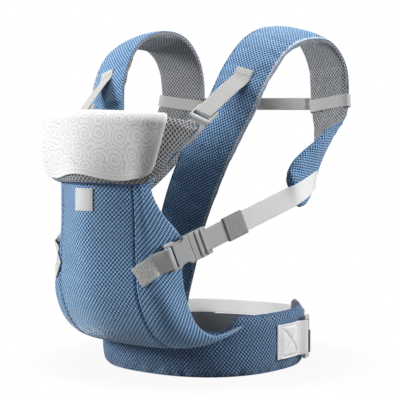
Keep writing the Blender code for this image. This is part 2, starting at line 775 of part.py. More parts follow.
def make_top_adjuster(word, flip):
    # a ladder lock between the strap's sewn webbing and the panel's ear
    def turn(v):
        return mirror(v) if flip else v

    sewn = [strap_point(t, TOP_WEB_ACROSS, strap_skin_height(TOP_WEB_ACROSS) + GAP) for t in TOP_WEB_SEWN]
    ear = panel_point(TOP_EAR[0], TOP_EAR[1], -WEB - EAR_BOW)
    along = unit(sewn[0] - ear)
    normal = strap_frame(TOP_WEB_SEWN[0])[3]
    normal = unit(normal - along * np.dot(normal, along))
    origin = ear + (sewn[0] - ear) * ADJUSTER_PLACE
    axis = frame_empty(f"top_adjuster_axis_{word}", turn(origin), turn(along), turn(normal))
    half = TOP_WEB_WIDTH / 2
    deep = ADJUSTER_THICKNESS / 2
    finish = FINISH["grey_plastic"]
    rim = 3.5 * MM
    name = f"top_adjuster_{word}"
    low = (0, -half - rim, -deep)
    high = (ADJUSTER_LENGTH, half + rim, deep)
    lock = block(name, low, high, finish, axis, PARTS, 1.0 * MM)
    bar = (ADJUSTER_LENGTH - 2 * SLOT_LENGTH) / 3
    for word_slot, x in (("front", bar), ("rear", 2 * bar + SLOT_LENGTH)):
        tool = (x, -half - GAP, -0.02)
        end = (x + SLOT_LENGTH, half + GAP, 0.02)
        carve(lock, block(f"{name}_{word_slot}_slot", tool, end, finish, axis, CUTTERS))

    def strip(name, points, normals, finish, rows):
        place = band(points, normals, TOP_WEB_WIDTH)
        if flip:
            sheet(name, lambda u, v, out: mirror(place(-u, v, out)), 1, rows, WEB, finish)
        else:
            sheet(name, place, 1, rows, WEB, finish)

    def at(x, out):
        return origin + along * x + normal * out

    above = deep + GAP
    run = np.linalg.norm(sewn[0] - origin)
    points = [at(bar + SLOT_LENGTH, above), at(ADJUSTER_LENGTH, above)]
    points += [at(run * 0.75, above * 0.6), sewn[0], sewn[1]]
    facing = [normal, normal, normal, strap_frame(TOP_WEB_SEWN[0])[3], strap_frame(TOP_WEB_SEWN[1])[3]]
    strip(f"top_webbing_{word}", points, facing, FINISH["grey_web"], 10)
    below = -deep - 2 * GAP - WEB
    ear_normal = panel_normal(*TOP_EAR)
    points = [ear, at(-0.25 * ADJUSTER_LENGTH, below), at(bar + SLOT_LENGTH, below)]
    strip(f"top_anchor_{word}", points, [ear_normal, normal, normal], FINISH["grey_web"], 8)


def make_cross_strap():
    place, along, across, normal = strap_frame(CROSS_STATION)
    half = STRAP_WIDTH / 2 + CROSS_CLEARANCE
    deep = STRAP_CENTRE_THICKNESS / 2 + CROSS_CLEARANCE
    high = CROSS_WEB_WIDTH / 2
    wall = CROSS_WALL
    for word, flip in (("left", False), ("right", True)):
        turn = mirror if flip else np.array
        axis = frame_empty(f"cross_loop_axis_{word}", turn(place), turn(across), turn(normal))
        name = f"cross_loop_{word}"
        low = (-half - wall, -high, -deep - wall)
        far = (half + wall, high, deep + wall)
        loop = block(name, low, far, FINISH["grey_web"], axis, PARTS, 0.7 * MM)
        low = (-half, -0.03, -deep)
        far = (half, 0.03, deep)
        carve(loop, block(name + "_bore", low, far, FINISH["grey_web"], axis, CUTTERS))
    inner = place - across * (half + wall + GAP)
    reach = inner[0] - 2 * GAP
    depth = inner[1]
    height = place[2]

    def webbing(u, v, out):
        return np.array((v * reach, depth + out, height + u * high))

    sheet("cross_webbing", webbing, 1, 6, WEB, FINISH["grey_web"])
    middle = -reach + SLIDER_LENGTH
    axis = frame_empty("cross_slider_axis", (middle, depth + WEB / 2, height), (1, 0, 0), (0, 1, 0))
    half = SLIDER_LENGTH / 2
    wide = high + SLIDER_RIM
    deep = SLIDER_THICKNESS / 2
    name = "cross_slider"
    finish = FINISH["grey_plastic"]
    slider = block(name, (-half, -wide, -deep), (half, wide, deep), finish, axis, PARTS, 0.8 * MM)
    passage = WEB / 2 + GAP
    tool = (-0.03, -high - GAP, -passage)
    end = (0.03, high + GAP, passage)
    carve(slider, block(name + "_passage", tool, end, finish, axis, CUTTERS))
    bar = SLIDER_LENGTH / 5
    for word, x in (("left", -1.5 * bar), ("right", 0.5 * bar)):
        low = (x, -high - GAP, passage - 0.2 * MM)
        far = (x + bar, high + GAP, 0.02)
        carve(slider, block(f"{name}_{word}_slot", low, far, finish, axis, CUTTERS))


def waist_path(turns, height, outside):
    # from inside the belt's right end, over to the outside of its left end
    start, stop = WAIST_CROSSING
    points = []
    normals = []
    for turn in turns[::-1]:
        share = min(1.0, max(0.0, (turn - start) / (stop - start)))
        ease = share**2 * (3 - 2 * share)
        spot, normal = belt_point(turn, height, outside + (-WEB - GAP - outside) * ease)
        points.append(spot)
        normals.append(normal)
    return points, normals


def make_waist_closure():
    low, high = belt_span(0.0)
    middle = (low + high) / 2
    outer = BELT_CENTRE_THICKNESS + 2 * GAP
    half_tab = TAB_WIDTH / 2
    wrap = RING_BAR * math.sqrt(0.5) + GAP
    base, normal = belt_point(RING_TURN, middle, outer)
    along = unit(np.cross(np.array((0, 0, 1.0)), normal))
    bar = base + normal * (wrap + WEB + GAP)
    axis = frame_empty("waist_ring_axis", bar, along, normal)
    name = "waist_ring"
    finish = FINISH["grey_plastic"]
    wide = half_tab + RING_RIM
    deep = RING_BAR / 2
    ring = block(name, (-deep, -wide, -deep), (RING_LENGTH - deep, wide, deep), finish, axis, PARTS, 1.2 * MM)
    opening = (deep, -half_tab - GAP, -0.02)
    end = (RING_LENGTH - deep - RING_BAR, half_tab + GAP, 0.02)
    carve(ring, block(name + "_opening", opening, end, finish, axis, CUTTERS))

    # the tab is sewn on the belt and folds back round the ring's front bar
    points = []
    normals = []
    for share in (0.0, 0.4, 0.75):
        spot, out = belt_point(TAB_TURN_START + (RING_TURN - TAB_TURN_START) * share, middle, outer)
        points.append(spot)
        normals.append(out)
    for angle in (125, 75, 25, -25, -65):
        turn = math.radians(angle)
        direction = along * math.cos(turn) + normal * math.sin(turn)
        points.append(bar + direction * wrap)
        normals.append(direction)
    tab = band(points, normals, TAB_WIDTH)
    sheet("waist_tab", tab, 1, 24, WEB, FINISH["white_web"])

    # dark webbing from inside the right end, round the back, under and over the ring's rear bar
    rear = bar + along * (RING_LENGTH - 2 * deep)
    points, normals = waist_path(WAIST_WEB_TURNS, middle + WAIST_WEB_SHIFT, outer + GAP)
    for angle in (-75, -120, -165, -210, -255):
        turn = math.radians(angle)
        direction = along * math.cos(turn) + normal * math.sin(turn)
        points.append(rear + direction * (wrap + WEB) + np.array((0, 0, WAIST_WEB_SHIFT)))
        normals.append(-direction)
    place = band(points, normals, WAIST_WEB_WIDTH)
    sheet("waist_webbing", place, 1, 40, WEB, FINISH["dark_web"])

    # white elastic band above it, joining the two padded ends
    lift = WAIST_WEB_SHIFT + (WAIST_WEB_WIDTH + BACK_BAND_WIDTH) / 2 + BACK_BAND_CLEARANCE
    points, normals = waist_path(BACK_BAND_TURNS, middle + lift, outer)
    sheet("waist_back_band", band(points, normals, BACK_BAND_WIDTH), 1, 30, WEB, FINISH["white_web"])


FINISH = {}


def build():
    for name, finish in (
        ("blue_mesh", BLUE_MESH),
        ("grey_mesh", GREY_MESH),
        ("foam", FOAM),
        ("white_cotton", WHITE_COTTON),
        ("grey_web", GREY_WEB),
        ("white_web", WHITE_WEB),
        ("dark_web", DARK_WEB),
        ("grey_plastic", GREY_PLASTIC),
    ):
        FINISH[name] = material(name, finish)
    make_belt()
    make_straps()
    make_panel()
    make_head_flap()
    for word, flip in (("left", False), ("right", True)):
        make_side_pull(word, flip)
        make_top_adjuster(word, flip)
    make_cross_strap()
    make_waist_closure()
    bpy.context.view_layer.update()


clear_scene()
PARTS = collection("soft_baby_carrier")
CUTTERS = collection("cutters")
build()
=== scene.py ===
import math

import bmesh
import bpy
import numpy as np
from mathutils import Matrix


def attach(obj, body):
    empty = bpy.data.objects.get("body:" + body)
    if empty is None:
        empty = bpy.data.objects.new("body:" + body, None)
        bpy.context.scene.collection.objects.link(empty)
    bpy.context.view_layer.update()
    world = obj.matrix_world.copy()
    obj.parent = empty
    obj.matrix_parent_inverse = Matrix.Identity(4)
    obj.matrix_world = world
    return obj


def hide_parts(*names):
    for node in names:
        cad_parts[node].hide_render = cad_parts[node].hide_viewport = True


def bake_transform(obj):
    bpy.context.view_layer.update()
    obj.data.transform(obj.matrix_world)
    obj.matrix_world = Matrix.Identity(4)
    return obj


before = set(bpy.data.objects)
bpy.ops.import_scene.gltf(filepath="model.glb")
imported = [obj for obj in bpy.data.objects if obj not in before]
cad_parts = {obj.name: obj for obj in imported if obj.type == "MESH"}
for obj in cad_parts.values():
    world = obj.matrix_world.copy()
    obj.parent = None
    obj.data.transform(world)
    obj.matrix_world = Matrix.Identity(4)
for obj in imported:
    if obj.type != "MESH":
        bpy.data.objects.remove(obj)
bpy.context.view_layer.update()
scene = bpy.context.scene
scene.view_settings.view_transform = "Standard"
mm = 0.001
gap = 0.4 * mm
print("frame loaded")

# camera at the photograph's angle
viewCamera = {"place": (1.4735, -1.7660, 0.410), "tilt": 86.218, "turn": 40.0, "lens": 129.33, "sensor": 36}
cameraData = bpy.data.cameras.new("viewCamera")
cameraData.lens = viewCamera["lens"]
cameraData.sensor_width = viewCamera["sensor"]
cameraObject = bpy.data.objects.new("viewCamera", cameraData)
cameraObject.location = viewCamera["place"]
cameraObject.rotation_euler = (math.radians(viewCamera["tilt"]), 0, math.radians(viewCamera["turn"]))
scene.collection.objects.link(cameraObject)
scene.camera = cameraObject


# small maths
def unit(v):
    return v / np.linalg.norm(v, axis=-1, keepdims=True)


def straight(p):
    return np.asarray(p, float)


def mirror(p):
    return straight(p) * np.array((-1.0, 1.0, 1.0))


def matched(*values):
    return np.broadcast_arrays(*(straight(v) for v in values))


def dot(a, b):
    return (a * b).sum(-1, keepdims=True)


def power(value, exponent):
    return np.sign(value) * np.abs(value) ** exponent


def weights(t, count):
    # Catmull-Rom weights of the four rows around t, straight past the ends
    t = straight(t)
    i = np.clip(np.floor(t).astype(int), 0, count - 2)
    f = t - i
    outer, inner = -f + 2 * f**2 - f**3, 2 - 5 * f**2 + 3 * f**3
    w = 0.5 * np.stack((outer, inner, f + 4 * f**2 - 3 * f**3, f**3 - f**2), -1)
    first = i == 0
    w[..., 1] += np.where(first, 2 * w[..., 0], 0)
    w[..., 2] -= np.where(first, w[..., 0], 0)
    w[..., 0] = np.where(first, 0, w[..., 0])
    end = i == count - 2
    w[..., 2] += np.where(end, 2 * w[..., 3], 0)
    w[..., 1] -= np.where(end, w[..., 3], 0)
    w[..., 3] = np.where(end, 0, w[..., 3])
    return np.clip(i[..., None] + np.arange(-1, 3), 0, count - 1), w


def spline(rows, t):
    index, w = weights(t, len(rows))
    return np.einsum("...k,...kd->...d", w, rows[index])


def smooth(x):
    x = np.clip(x, 0, 1)
    return x * x * (3 - 2 * x)


swells = {"waves": ((1.0, 0.6), (-0.7, 1.3), (1.9, 0.4), (0.5, -2.1))}
swells.update(phase=1.7, fade=1.6, scale=1.9)


def ripple(a, b, seed):
    # soft uneven swelling between -1 and 1
    total = 0
    for k, (fa, fb) in enumerate(swells["waves"]):
        total = total + np.sin(fa * a + fb * b + seed * (k + swells["phase"])) / (k + swells["fade"])
    return total / swells["scale"]


def edged(count, roll, turnSteps=6):
    # from -1 to 1, with closer steps where the edge rolls over
    turn = roll * (1 - np.cos(np.linspace(0, math.pi / 2, turnSteps)[:-1]))
    return np.concatenate((turn - 1, np.linspace(roll - 1, 1 - roll, count), (1 - turn)[::-1]))


def quarter(x):
    # a quarter round that rises from 0 to 1
    return np.sqrt(np.clip(1 - (1 - np.clip(x, 0, 1)) ** 2, 0, 1))


def rolled(x, roll):
    return quarter((1 - np.abs(x)) / roll)


# surfaces, repeated from the part
cloth = {"skin": 2.5 * mm, "edgeShare": 0.4, "edgePower": 2.5}
belt = {"halfWidth": 142 * mm, "halfDepth": 138 * mm, "squareness": 2.4, "height": 90 * mm, "foam": 8.0 * mm}
belt.update(endTurn=150.0, taperTurn=112.0, endRise=16 * mm, endLift=4 * mm)
belt.update(dip=22 * mm, dipTurns=(24, 38, 48, 64), rightDrop=15 * mm, rightTurns=(112, 128))
belt["thick"] = 2 * cloth["skin"] + belt["foam"] + 2 * gap


def beltPoint(turn, height, out):
    angle = np.radians(turn)
    share = 2 / belt["squareness"]
    x = belt["halfWidth"] * power(np.sin(angle), share)
    y = -belt["halfDepth"] * power(np.cos(angle), share)
    nx = power(x / belt["halfWidth"], belt["squareness"] - 1) / belt["halfWidth"]
    ny = power(y / belt["halfDepth"], belt["squareness"] - 1) / belt["halfDepth"]
    normal = unit(np.stack((nx, ny, np.zeros_like(nx)), -1))
    x, y, height, out = np.broadcast_arrays(x, y, height, out)
    return np.stack((x, y, height), -1) + normal * out[..., None], normal


def beltSpan(turn):
    late = np.maximum(0, np.abs(turn) - belt["taperTurn"]) / (belt["endTurn"] - belt["taperTurn"])
    down, low, end, up = belt["dipTurns"]
    dip = smooth((np.abs(turn) - down) / (low - down)) - smooth((np.abs(turn) - end) / (up - end))
    start, stop = belt["rightTurns"]
    drop = belt["rightDrop"] * smooth((-turn - start) / (stop - start))
    return belt["endRise"] * late**2, belt["height"] + belt["endLift"] * late**2 - belt["dip"] * dip - drop


def crown(v):
    return 1 - (1 - cloth["edgeShare"]) * np.abs(v) ** cloth["edgePower"]


strap = {"width": 82 * mm, "foam": 9.0 * mm, "footTurn": 13.5, "footDepth": 32 * mm, "footWidth": 50 * mm}
strap.update(fullRow=4.0, endRound=0.36, endPower=2.5)
strap["thick"] = 2 * cloth["skin"] + strap["foam"] + 2 * gap
strap["route"] = (
    (43, -119, 165, 0.26, -0.96, 0.05),
    (61, -121, 239, 0.22, -0.97, 0.10),
    (94, -113, 326, 0.22, -0.95, 0.22),
    (126, -92, 403, 0.24, -0.86, 0.45),
    (140, -66, 460, 0.26, -0.72, 0.64),
    (147, -28, 501, 0.26, -0.42, 0.87),
    (150, 25, 519, 0.26, -0.02, 0.96),
    (152, 81, 513, 0.22, 0.46, 0.86),
    (154, 120, 474, 0.19, 0.90, 0.40),
    (155, 128, 417, 0.22, 0.97, 0.04),
    (163, 114, 369, 0.40, 0.91, -0.10),
    (171, 73, 330, 0.78, 0.60, -0.18),
    (176, 32, 299, 0.97, 0.15, -0.15),
    (179, -2, 276, 0.99, -0.06, -0.10),
)


def strapTable():
    rise = (strap["footWidth"] / 2) ** 2 / (2 * min(belt["halfWidth"], belt["halfDepth"])) + gap
    rows = []
    for height in (belt["height"] - strap["footDepth"], belt["height"] + strap["footDepth"] / 2):
        rows.append(np.concatenate(beltPoint(strap["footTurn"], height, -(rise + strap["thick"] / 2))))
    for row in strap["route"]:
        rows.append(np.concatenate((np.array(row[:3]) * mm, unit(np.array(row[3:])))))
    return np.array(rows)


strapRows = strapTable()
strapLast = len(strapRows) - 1


def bandFrame(rows, t, step=0.02):
    # place, direction, side and normal along a table of places and normals
    t = straight(t)
    row = spline(rows, t)
    ahead, behind = spline(rows, np.minimum(t + step, len(rows) - 1)), spline(rows, np.maximum(t - step, 0))
    along = unit(ahead[..., :3] - behind[..., :3])
    across = unit(np.cross(along, row[..., 3:]))
    return row[..., :3], along, across, np.cross(across, along)


def strapHalf(t):
    width = strap["footWidth"] + (strap["width"] - strap["footWidth"]) * smooth(t / strap["fullRow"])
    late = np.maximum(0.0, t - (strapLast - 1))
    return width / 2 * (1 - strap["endRound"] * late ** strap["endPower"])


def strapPoint(t, v, out):
    spot, _, across, normal = bandFrame(strapRows, t)
    t, v, out = matched(t, v, out)
    return spot + across * (v * strapHalf(t))[..., None] + normal * out[..., None]


def strapSkin(v):
    return strap["foam"] * crown(v) + 2 * cloth["skin"] + 2 * gap - strap["thick"] / 2


panel = {"seamHeight": 47 * mm, "tailLift": 33 * mm, "tailTurn": 63.0, "thick": 2 * cloth["skin"] + gap}
panel["rows"] = (
    ((0, -188, 56), (76, -174, 55), (116, -148, 58), (140, -114, 71)),
    ((0, -222, 70), (78, -202, 70), (113, -178, 68), (131, -142, 70)),
    ((0, -246, 94), (78, -224, 96), (110, -204, 93), (120, -164, 88)),
    ((0, -262, 132), (76, -240, 138), (107, -219, 130), (112, -177, 125)),
    ((0, -268, 185), (72, -241, 188), (97, -218, 178), (107, -181, 165)),
    ((0, -270, 230), (70, -240, 230), (89, -220, 222), (105, -178, 212)),
    ((0, -270, 268), (69, -240, 266), (81, -230, 261), (90, -208, 255)),
    ((0, -269, 300), (69, -242, 299), (78, -234, 296), (81, -220, 291)),
    ((0, -269, 334), (79, -246, 332), (92, -234, 327), (98, -214, 319)),
    ((0, -267, 362), (86, -247, 360), (105, -226, 355), (113, -197, 348)),
    ((0, -264, 386), (88, -246, 384), (115, -213, 381), (127, -173, 375)),
)


def panelTable():
    shares = np.array((0.0, 1 / 3, 2 / 3, 1.0))
    height = panel["seamHeight"] + panel["tailLift"] * shares**2
    seam = beltPoint(panel["tailTurn"] * shares, height, np.full(4, belt["thick"] + 2 * gap))[0]
    grid = np.concatenate((seam[None], np.array(panel["rows"]) * mm))
    return np.concatenate((mirror(grid[:, 1:2]), grid), axis=1)


panelGrid = panelTable()
panelTop = len(panelGrid) - 1
panelEdge = 3


def panelBase(c, h):
    c, h = matched(c, h)
    ci, cw = weights(np.abs(c) + 1, panelGrid.shape[1])
    hi, hw = weights(h, panelTop + 1)
    spot = np.einsum("...i,...j,...ijk->...k", hw, cw, panelGrid[hi[..., :, None], ci[..., None, :]])
    return np.where((c < 0)[..., None], mirror(spot), spot)


def panelNormal(c, h, step=0.03):
    side = panelBase(np.minimum(c + step, panelEdge), h) - panelBase(np.maximum(c - step, -panelEdge), h)
    rise = panelBase(c, np.minimum(h + step, panelTop)) - panelBase(c, np.maximum(h - step, 0))
    return unit(np.cross(side, rise))


def panelPoint(c, h, out):
    c, h, out = matched(c, h, out)
    return panelBase(c, h) + panelNormal(c, h) * out[..., None]


def crestPoint(c, drop, out, step=0.03):
    # up to a drop of 1 it rolls over the crest, and then it goes down the front
    c, drop, out = matched(c, drop, out)
    top = panelBase(c, panelTop)
    up = unit(top - panelBase(c, panelTop - step))
    normal = panelNormal(c, np.full_like(c, panelTop))
    middle = panel["thick"] / 2
    angle = math.pi / 2 * (1 - np.minimum(drop, 1))
    reach = out - middle
    forward, upward = middle + reach * np.cos(angle), reach * np.sin(angle)
    rollOver = top + normal * forward[..., None] + up * upward[..., None]
    fall = panelPoint(c, panelTop - np.maximum(drop - 1, 0), out)
    return np.where((drop < 1)[..., None], rollOver, fall)


# shader nodes
def srgb(*levels):
    # linear colour from levels between 0 and 255
    linear = [x / 255 / 12.92 if x < 11 else ((x / 255 + 0.055) / 1.055) ** 2.4 for x in levels]
    return (*linear, 1.0)


def place(tree, kind, *sources, sockets=None, **settings):
    # a node with its first sources in order, and others by the socket's name or number
    node = tree.nodes.new("ShaderNode" + kind)
    for key, value in settings.items():
        setattr(node, key, value)
    fed = list(zip(node.inputs, sources))
    fed += [(node.inputs[key], source) for key, source in (sockets or {}).items()]
    for socket, source in fed:
        if isinstance(source, bpy.types.NodeSocket):
            tree.links.new(source, socket)
        else:
            socket.default_value = source
    return node


def maths(tree, operation, *sources):
    return place(tree, "Math", *sources, operation=operation).outputs[0]


def times(tree, first, second):
    return maths(tree, "MULTIPLY", first, second)


def vectors(tree, operation, *sources):
    node = place(tree, "VectorMath", *sources, operation=operation)
    return node.outputs["Value" if operation in ("LENGTH", "DOT_PRODUCT") else "Vector"]


def scaled(tree, vector, factor):
    return place(tree, "VectorMath", vector, sockets={"Scale": factor}, operation="SCALE").outputs["Vector"]


def span(tree, value, low, high, start=0.0, end=1.0):
    sockets = {"Value": value, "From Min": low, "From Max": high, "To Min": start, "To Max": end}
    return place(tree, "MapRange", sockets=sockets, interpolation_type="SMOOTHSTEP").outputs["Result"]


def mixed(tree, factor, first, second):
    # 6 and 7 are the node's two colours
    return place(tree, "Mix", sockets={0: factor, 6: first, 7: second}, data_type="RGBA").outputs[2]


def noise(tree, where, scale, detail=2.0, roughness=0.5):
    sockets = {"Vector": where, "Scale": scale, "Detail": detail, "Roughness": roughness}
    return place(tree, "TexNoise", sockets=sockets).outputs["Fac"]


def nodeGroup(name, inputs, outputs):
    tree = bpy.data.node_groups.new(name, "ShaderNodeTree")
    for sockets, way in ((inputs, "INPUT"), (outputs, "OUTPUT")):
        for label, kind in sockets.items():
            tree.interface.new_socket(label, in_out=way, socket_type="NodeSocket" + kind)
    return tree, tree.nodes.new("NodeGroupInput").outputs, tree.nodes.new("NodeGroupOutput").inputs


clothOut = {"Color": "Color", "Height": "Float"}
knit = {"tall": 1.12, "wander": (0.0009, 0.0006, 0.0), "wanderScale": 70.0, "corner": (0.78, 0.72, 0.0)}
knit.update(inside=0.07, outside=0.10, fibreScale=2600.0, cloudScale=22.0, threadRise=0.75, fibreRise=0.25)


def makeAirMesh():
    # knitted spacer cloth: two staggered lattices of round holes between raised threads, with painted shade
    # in the holes and a painted highlight on the thread ridges
    inputs = {"UV": "Vector", **dict.fromkeys(("Pitch", "Hole", "Diamond", "Twill"), "Float")}
    tree, given, made = nodeGroup("airMesh", {**inputs, "Thread": "Color", "Depth": "Color"}, clothOut)
    tall = times(tree, given["Pitch"], knit["tall"])
    size = place(tree, "CombineXYZ", given["Pitch"], tall, 1.0).outputs[0]
    wander = noise(tree, given["UV"], knit["wanderScale"], 1.0)
    bent = vectors(tree, "ADD", given["UV"], scaled(tree, knit["wander"], wander))
    cells = vectors(tree, "DIVIDE", bent, size)
    half = (0.5, 0.5, 0.0)

    def reach(where):
        offset = vectors(tree, "SUBTRACT", vectors(tree, "FRACTION", where), half)
        cornered = vectors(tree, "DOT_PRODUCT", vectors(tree, "ABSOLUTE", offset), knit["corner"])
        roundShare = maths(tree, "SUBTRACT", 1.0, given["Diamond"])
        rounded = times(tree, vectors(tree, "LENGTH", offset), roundShare)
        return maths(tree, "MULTIPLY_ADD", cornered, given["Diamond"], rounded)

    distance = maths(tree, "MINIMUM", reach(cells), reach(vectors(tree, "ADD", cells, half)))
    slant = maths(tree, "FRACT", vectors(tree, "DOT_PRODUCT", cells, (1.0, -1.0, 0.0)))
    wave = span(tree, maths(tree, "ABSOLUTE", maths(tree, "SUBTRACT", slant, 0.5)), 0.0, 0.5, 1.0, -1.0)
    twill = maths(tree, "MULTIPLY_ADD", wave, given["Twill"], 1.0)
    inside = maths(tree, "SUBTRACT", given["Hole"], knit["inside"])
    outside = maths(tree, "ADD", given["Hole"], knit["outside"])
    thread = span(tree, distance, inside, outside)
    fibre = noise(tree, given["UV"], knit["fibreScale"], 3.0, 0.6)
    cloud = noise(tree, given["UV"], knit["cloudScale"], 3.0, 0.55)
    shade = times(tree, span(tree, fibre, 0.2, 0.8, 0.80, 1.12), span(tree, cloud, 0.25, 0.75, 0.93, 1.06))
    # painted highlight: the thread colour is lifted towards the ridge tops, away from the holes, times the
    # fibre and cloud tone and the twill lines
    toneAndRidgeHighlight = times(tree, span(tree, distance, 0.28, 0.5, 0.86, 1.12), times(tree, shade, twill))
    lit = scaled(tree, given["Thread"], toneAndRidgeHighlight)
    # painted shade: the holes take the dark hole colour
    tree.links.new(mixed(tree, thread, given["Depth"], lit), made["Color"])
    rise = maths(tree, "ADD", times(tree, thread, knit["threadRise"]), times(tree, fibre, knit["fibreRise"]))
    tree.links.new(rise, made["Height"])
    return tree


def makeWebbing():
    # flat woven tape: ribs along it, crossed by weft rows that step half a rib, with painted shade in the
    # grooves between them
    inputs = {"UV": "Vector", "Rib": "Float", "Weft": "Float", "Light": "Color", "GrooveShade": "Color"}
    tree, given, made = nodeGroup("tapeWeave", inputs, clothOut)
    parts = place(tree, "SeparateXYZ", given["UV"]).outputs
    rows = maths(tree, "DIVIDE", parts[1], given["Weft"])
    step = times(tree, maths(tree, "FLOOR", rows), 0.5)
    ribs = maths(tree, "ADD", maths(tree, "DIVIDE", parts[0], given["Rib"]), step)
    warp = maths(tree, "ABSOLUTE", maths(tree, "SINE", times(tree, ribs, math.pi)))
    weft = maths(tree, "ABSOLUTE", maths(tree, "SINE", times(tree, rows, math.pi)))
    height = times(tree, maths(tree, "POWER", warp, 0.7), maths(tree, "POWER", weft, 0.4))
    fuzz = noise(tree, given["UV"], 1800.0, 3.0, 0.6)
    cloud = noise(tree, given["UV"], 40.0, 2.0)
    # painted shade: the colour goes from the light rib tops to the dark colour in the low grooves, times
    # random fuzz and cloud tone
    level = times(tree, span(tree, height, 0.0, 0.9), span(tree, fuzz, 0.2, 0.8, 0.82, 1.05))
    level = times(tree, level, span(tree, cloud, 0.3, 0.7, 0.93, 1.03))
    tree.links.new(mixed(tree, level, given["GrooveShade"], given["Light"]), made["Color"])
    tree.links.new(maths(tree, "ADD", height, times(tree, fuzz, 0.3)), made["Height"])
    return tree


def makeMoulded():
    # spark-eroded plastic: fine grain, slight flow clouds and a paler rub on it
    inputs = {"Place": "Vector", "Base": "Color", "Rub": "Color"}
    tree, given, made = nodeGroup("mouldedGrain", inputs, {**clothOut, "Roughness": "Float"})
    grain = noise(tree, given["Place"], 2400.0, 2.0)
    cloud = noise(tree, given["Place"], 60.0, 3.0)
    rub = times(tree, span(tree, cloud, 0.5, 0.75), span(tree, grain, 0.4, 0.7, 0.3, 0.8))
    tree.links.new(mixed(tree, rub, given["Base"], given["Rub"]), made["Color"])
    tree.links.new(span(tree, cloud, 0.3, 0.7, 0.38, 0.52), made["Roughness"])
    tree.links.new(grain, made["Height"])
    return tree


airMesh = makeAirMesh()
tapeWeave = makeWebbing()
mouldedGrain = makeMoulded()
sheenLook = {"spread": 0.35, "frostSpread": 0.46, "frostTint": srgb(206, 228, 246)}


def newMaterial(name, roughness, sheen=0.0):
    made = bpy.data.materials.new(name)
    made.use_nodes = True
    shader = made.node_tree.nodes["Principled BSDF"]
    shader.inputs["Roughness"].default_value = roughness
    shader.inputs["Sheen Weight"].default_value = sheen
    shader.inputs["Sheen Roughness"].default_value = sheenLook["spread"]
    return made, made.node_tree, shader


def bumped(tree, shader, height, strength, depth):
    node = place(tree, "Bump", sockets={"Strength": strength, "Distance": depth, "Height": height})
    tree.links.new(node.outputs["Normal"], shader.inputs["Normal"])


def placedGroup(tree, group, where, values):
    node = tree.nodes.new("ShaderNodeGroup")
    node.node_tree = group
    tree.links.new(where, node.inputs[0])
    for key, value in values.items():
        node.inputs[key].default_value = value
    return node.outputs


def weaveMap(tree, name="weave"):
    return place(tree, "UVMap", uv_map=name).outputs[0]


def dressed(tree, shader, outputs, strength, depth):
    tree.links.new(outputs["Color"], shader.inputs["Base Color"])
    bumped(tree, shader, outputs["Height"], strength, depth)


def meshFinish(name, thread, depth, pitch, hole, diamond, twill, frost):
    # frost is the sheen that the fibre tips give where the cloth turns away
    made, tree, shader = newMaterial(name, 0.85, frost)
    shader.inputs["Sheen Roughness"].default_value = sheenLook["frostSpread"]
    shader.inputs["Sheen Tint"].default_value = sheenLook["frostTint"]
    # depth is the dark colour of the holes: painted shade
    values = {"Thread": thread, "Depth": depth, "Pitch": pitch, "Hole": hole, "Diamond": diamond}
    outputs = placedGroup(tree, airMesh, weaveMap(tree), {**values, "Twill": twill})
    dressed(tree, shader, outputs, 0.75, 0.9 * mm)
    return made


def tapeFinish(name, light, dark, rib=1.6 * mm, weft=1.2 * mm, sheen=0.06, deep=0.35 * mm):
    made, tree, shader = newMaterial(name, 0.7, sheen)
    # dark is the colour in the weave's grooves: painted shade
    values = {"Light": light, "GrooveShade": dark, "Rib": rib, "Weft": weft}
    dressed(tree, shader, placedGroup(tree, tapeWeave, weaveMap(tree), values), 0.6, deep)
    return made


def plasticFinish(name, base, rub):
    made, tree, shader = newMaterial(name, 0.45)
    where = place(tree, "TexCoord").outputs["Object"]
    outputs = placedGroup(tree, mouldedGrain, where, {"Base": base, "Rub": rub})
    tree.links.new(outputs["Roughness"], shader.inputs["Roughness"])
    dressed(tree, shader, outputs, 0.12, 0.1 * mm)
    return made


cottonLook = {"shade": srgb(208, 208, 208), "yarn": 0.7 * mm, "driftScale": 55.0, "drift": 0.009}
cottonLook.update(cellScale=38.0, scatter=0.75, rings=4.6, ringEdge=(0.07, 0.13), lineShare=0.9)
cottonLook.update(margin=(8.5 * mm, 9.5 * mm), sewnPlace=6.4 * mm, sewnHalf=1.5 * mm)
cottonLook["sewnEdge"] = (0.2 * mm, 0.7 * mm)


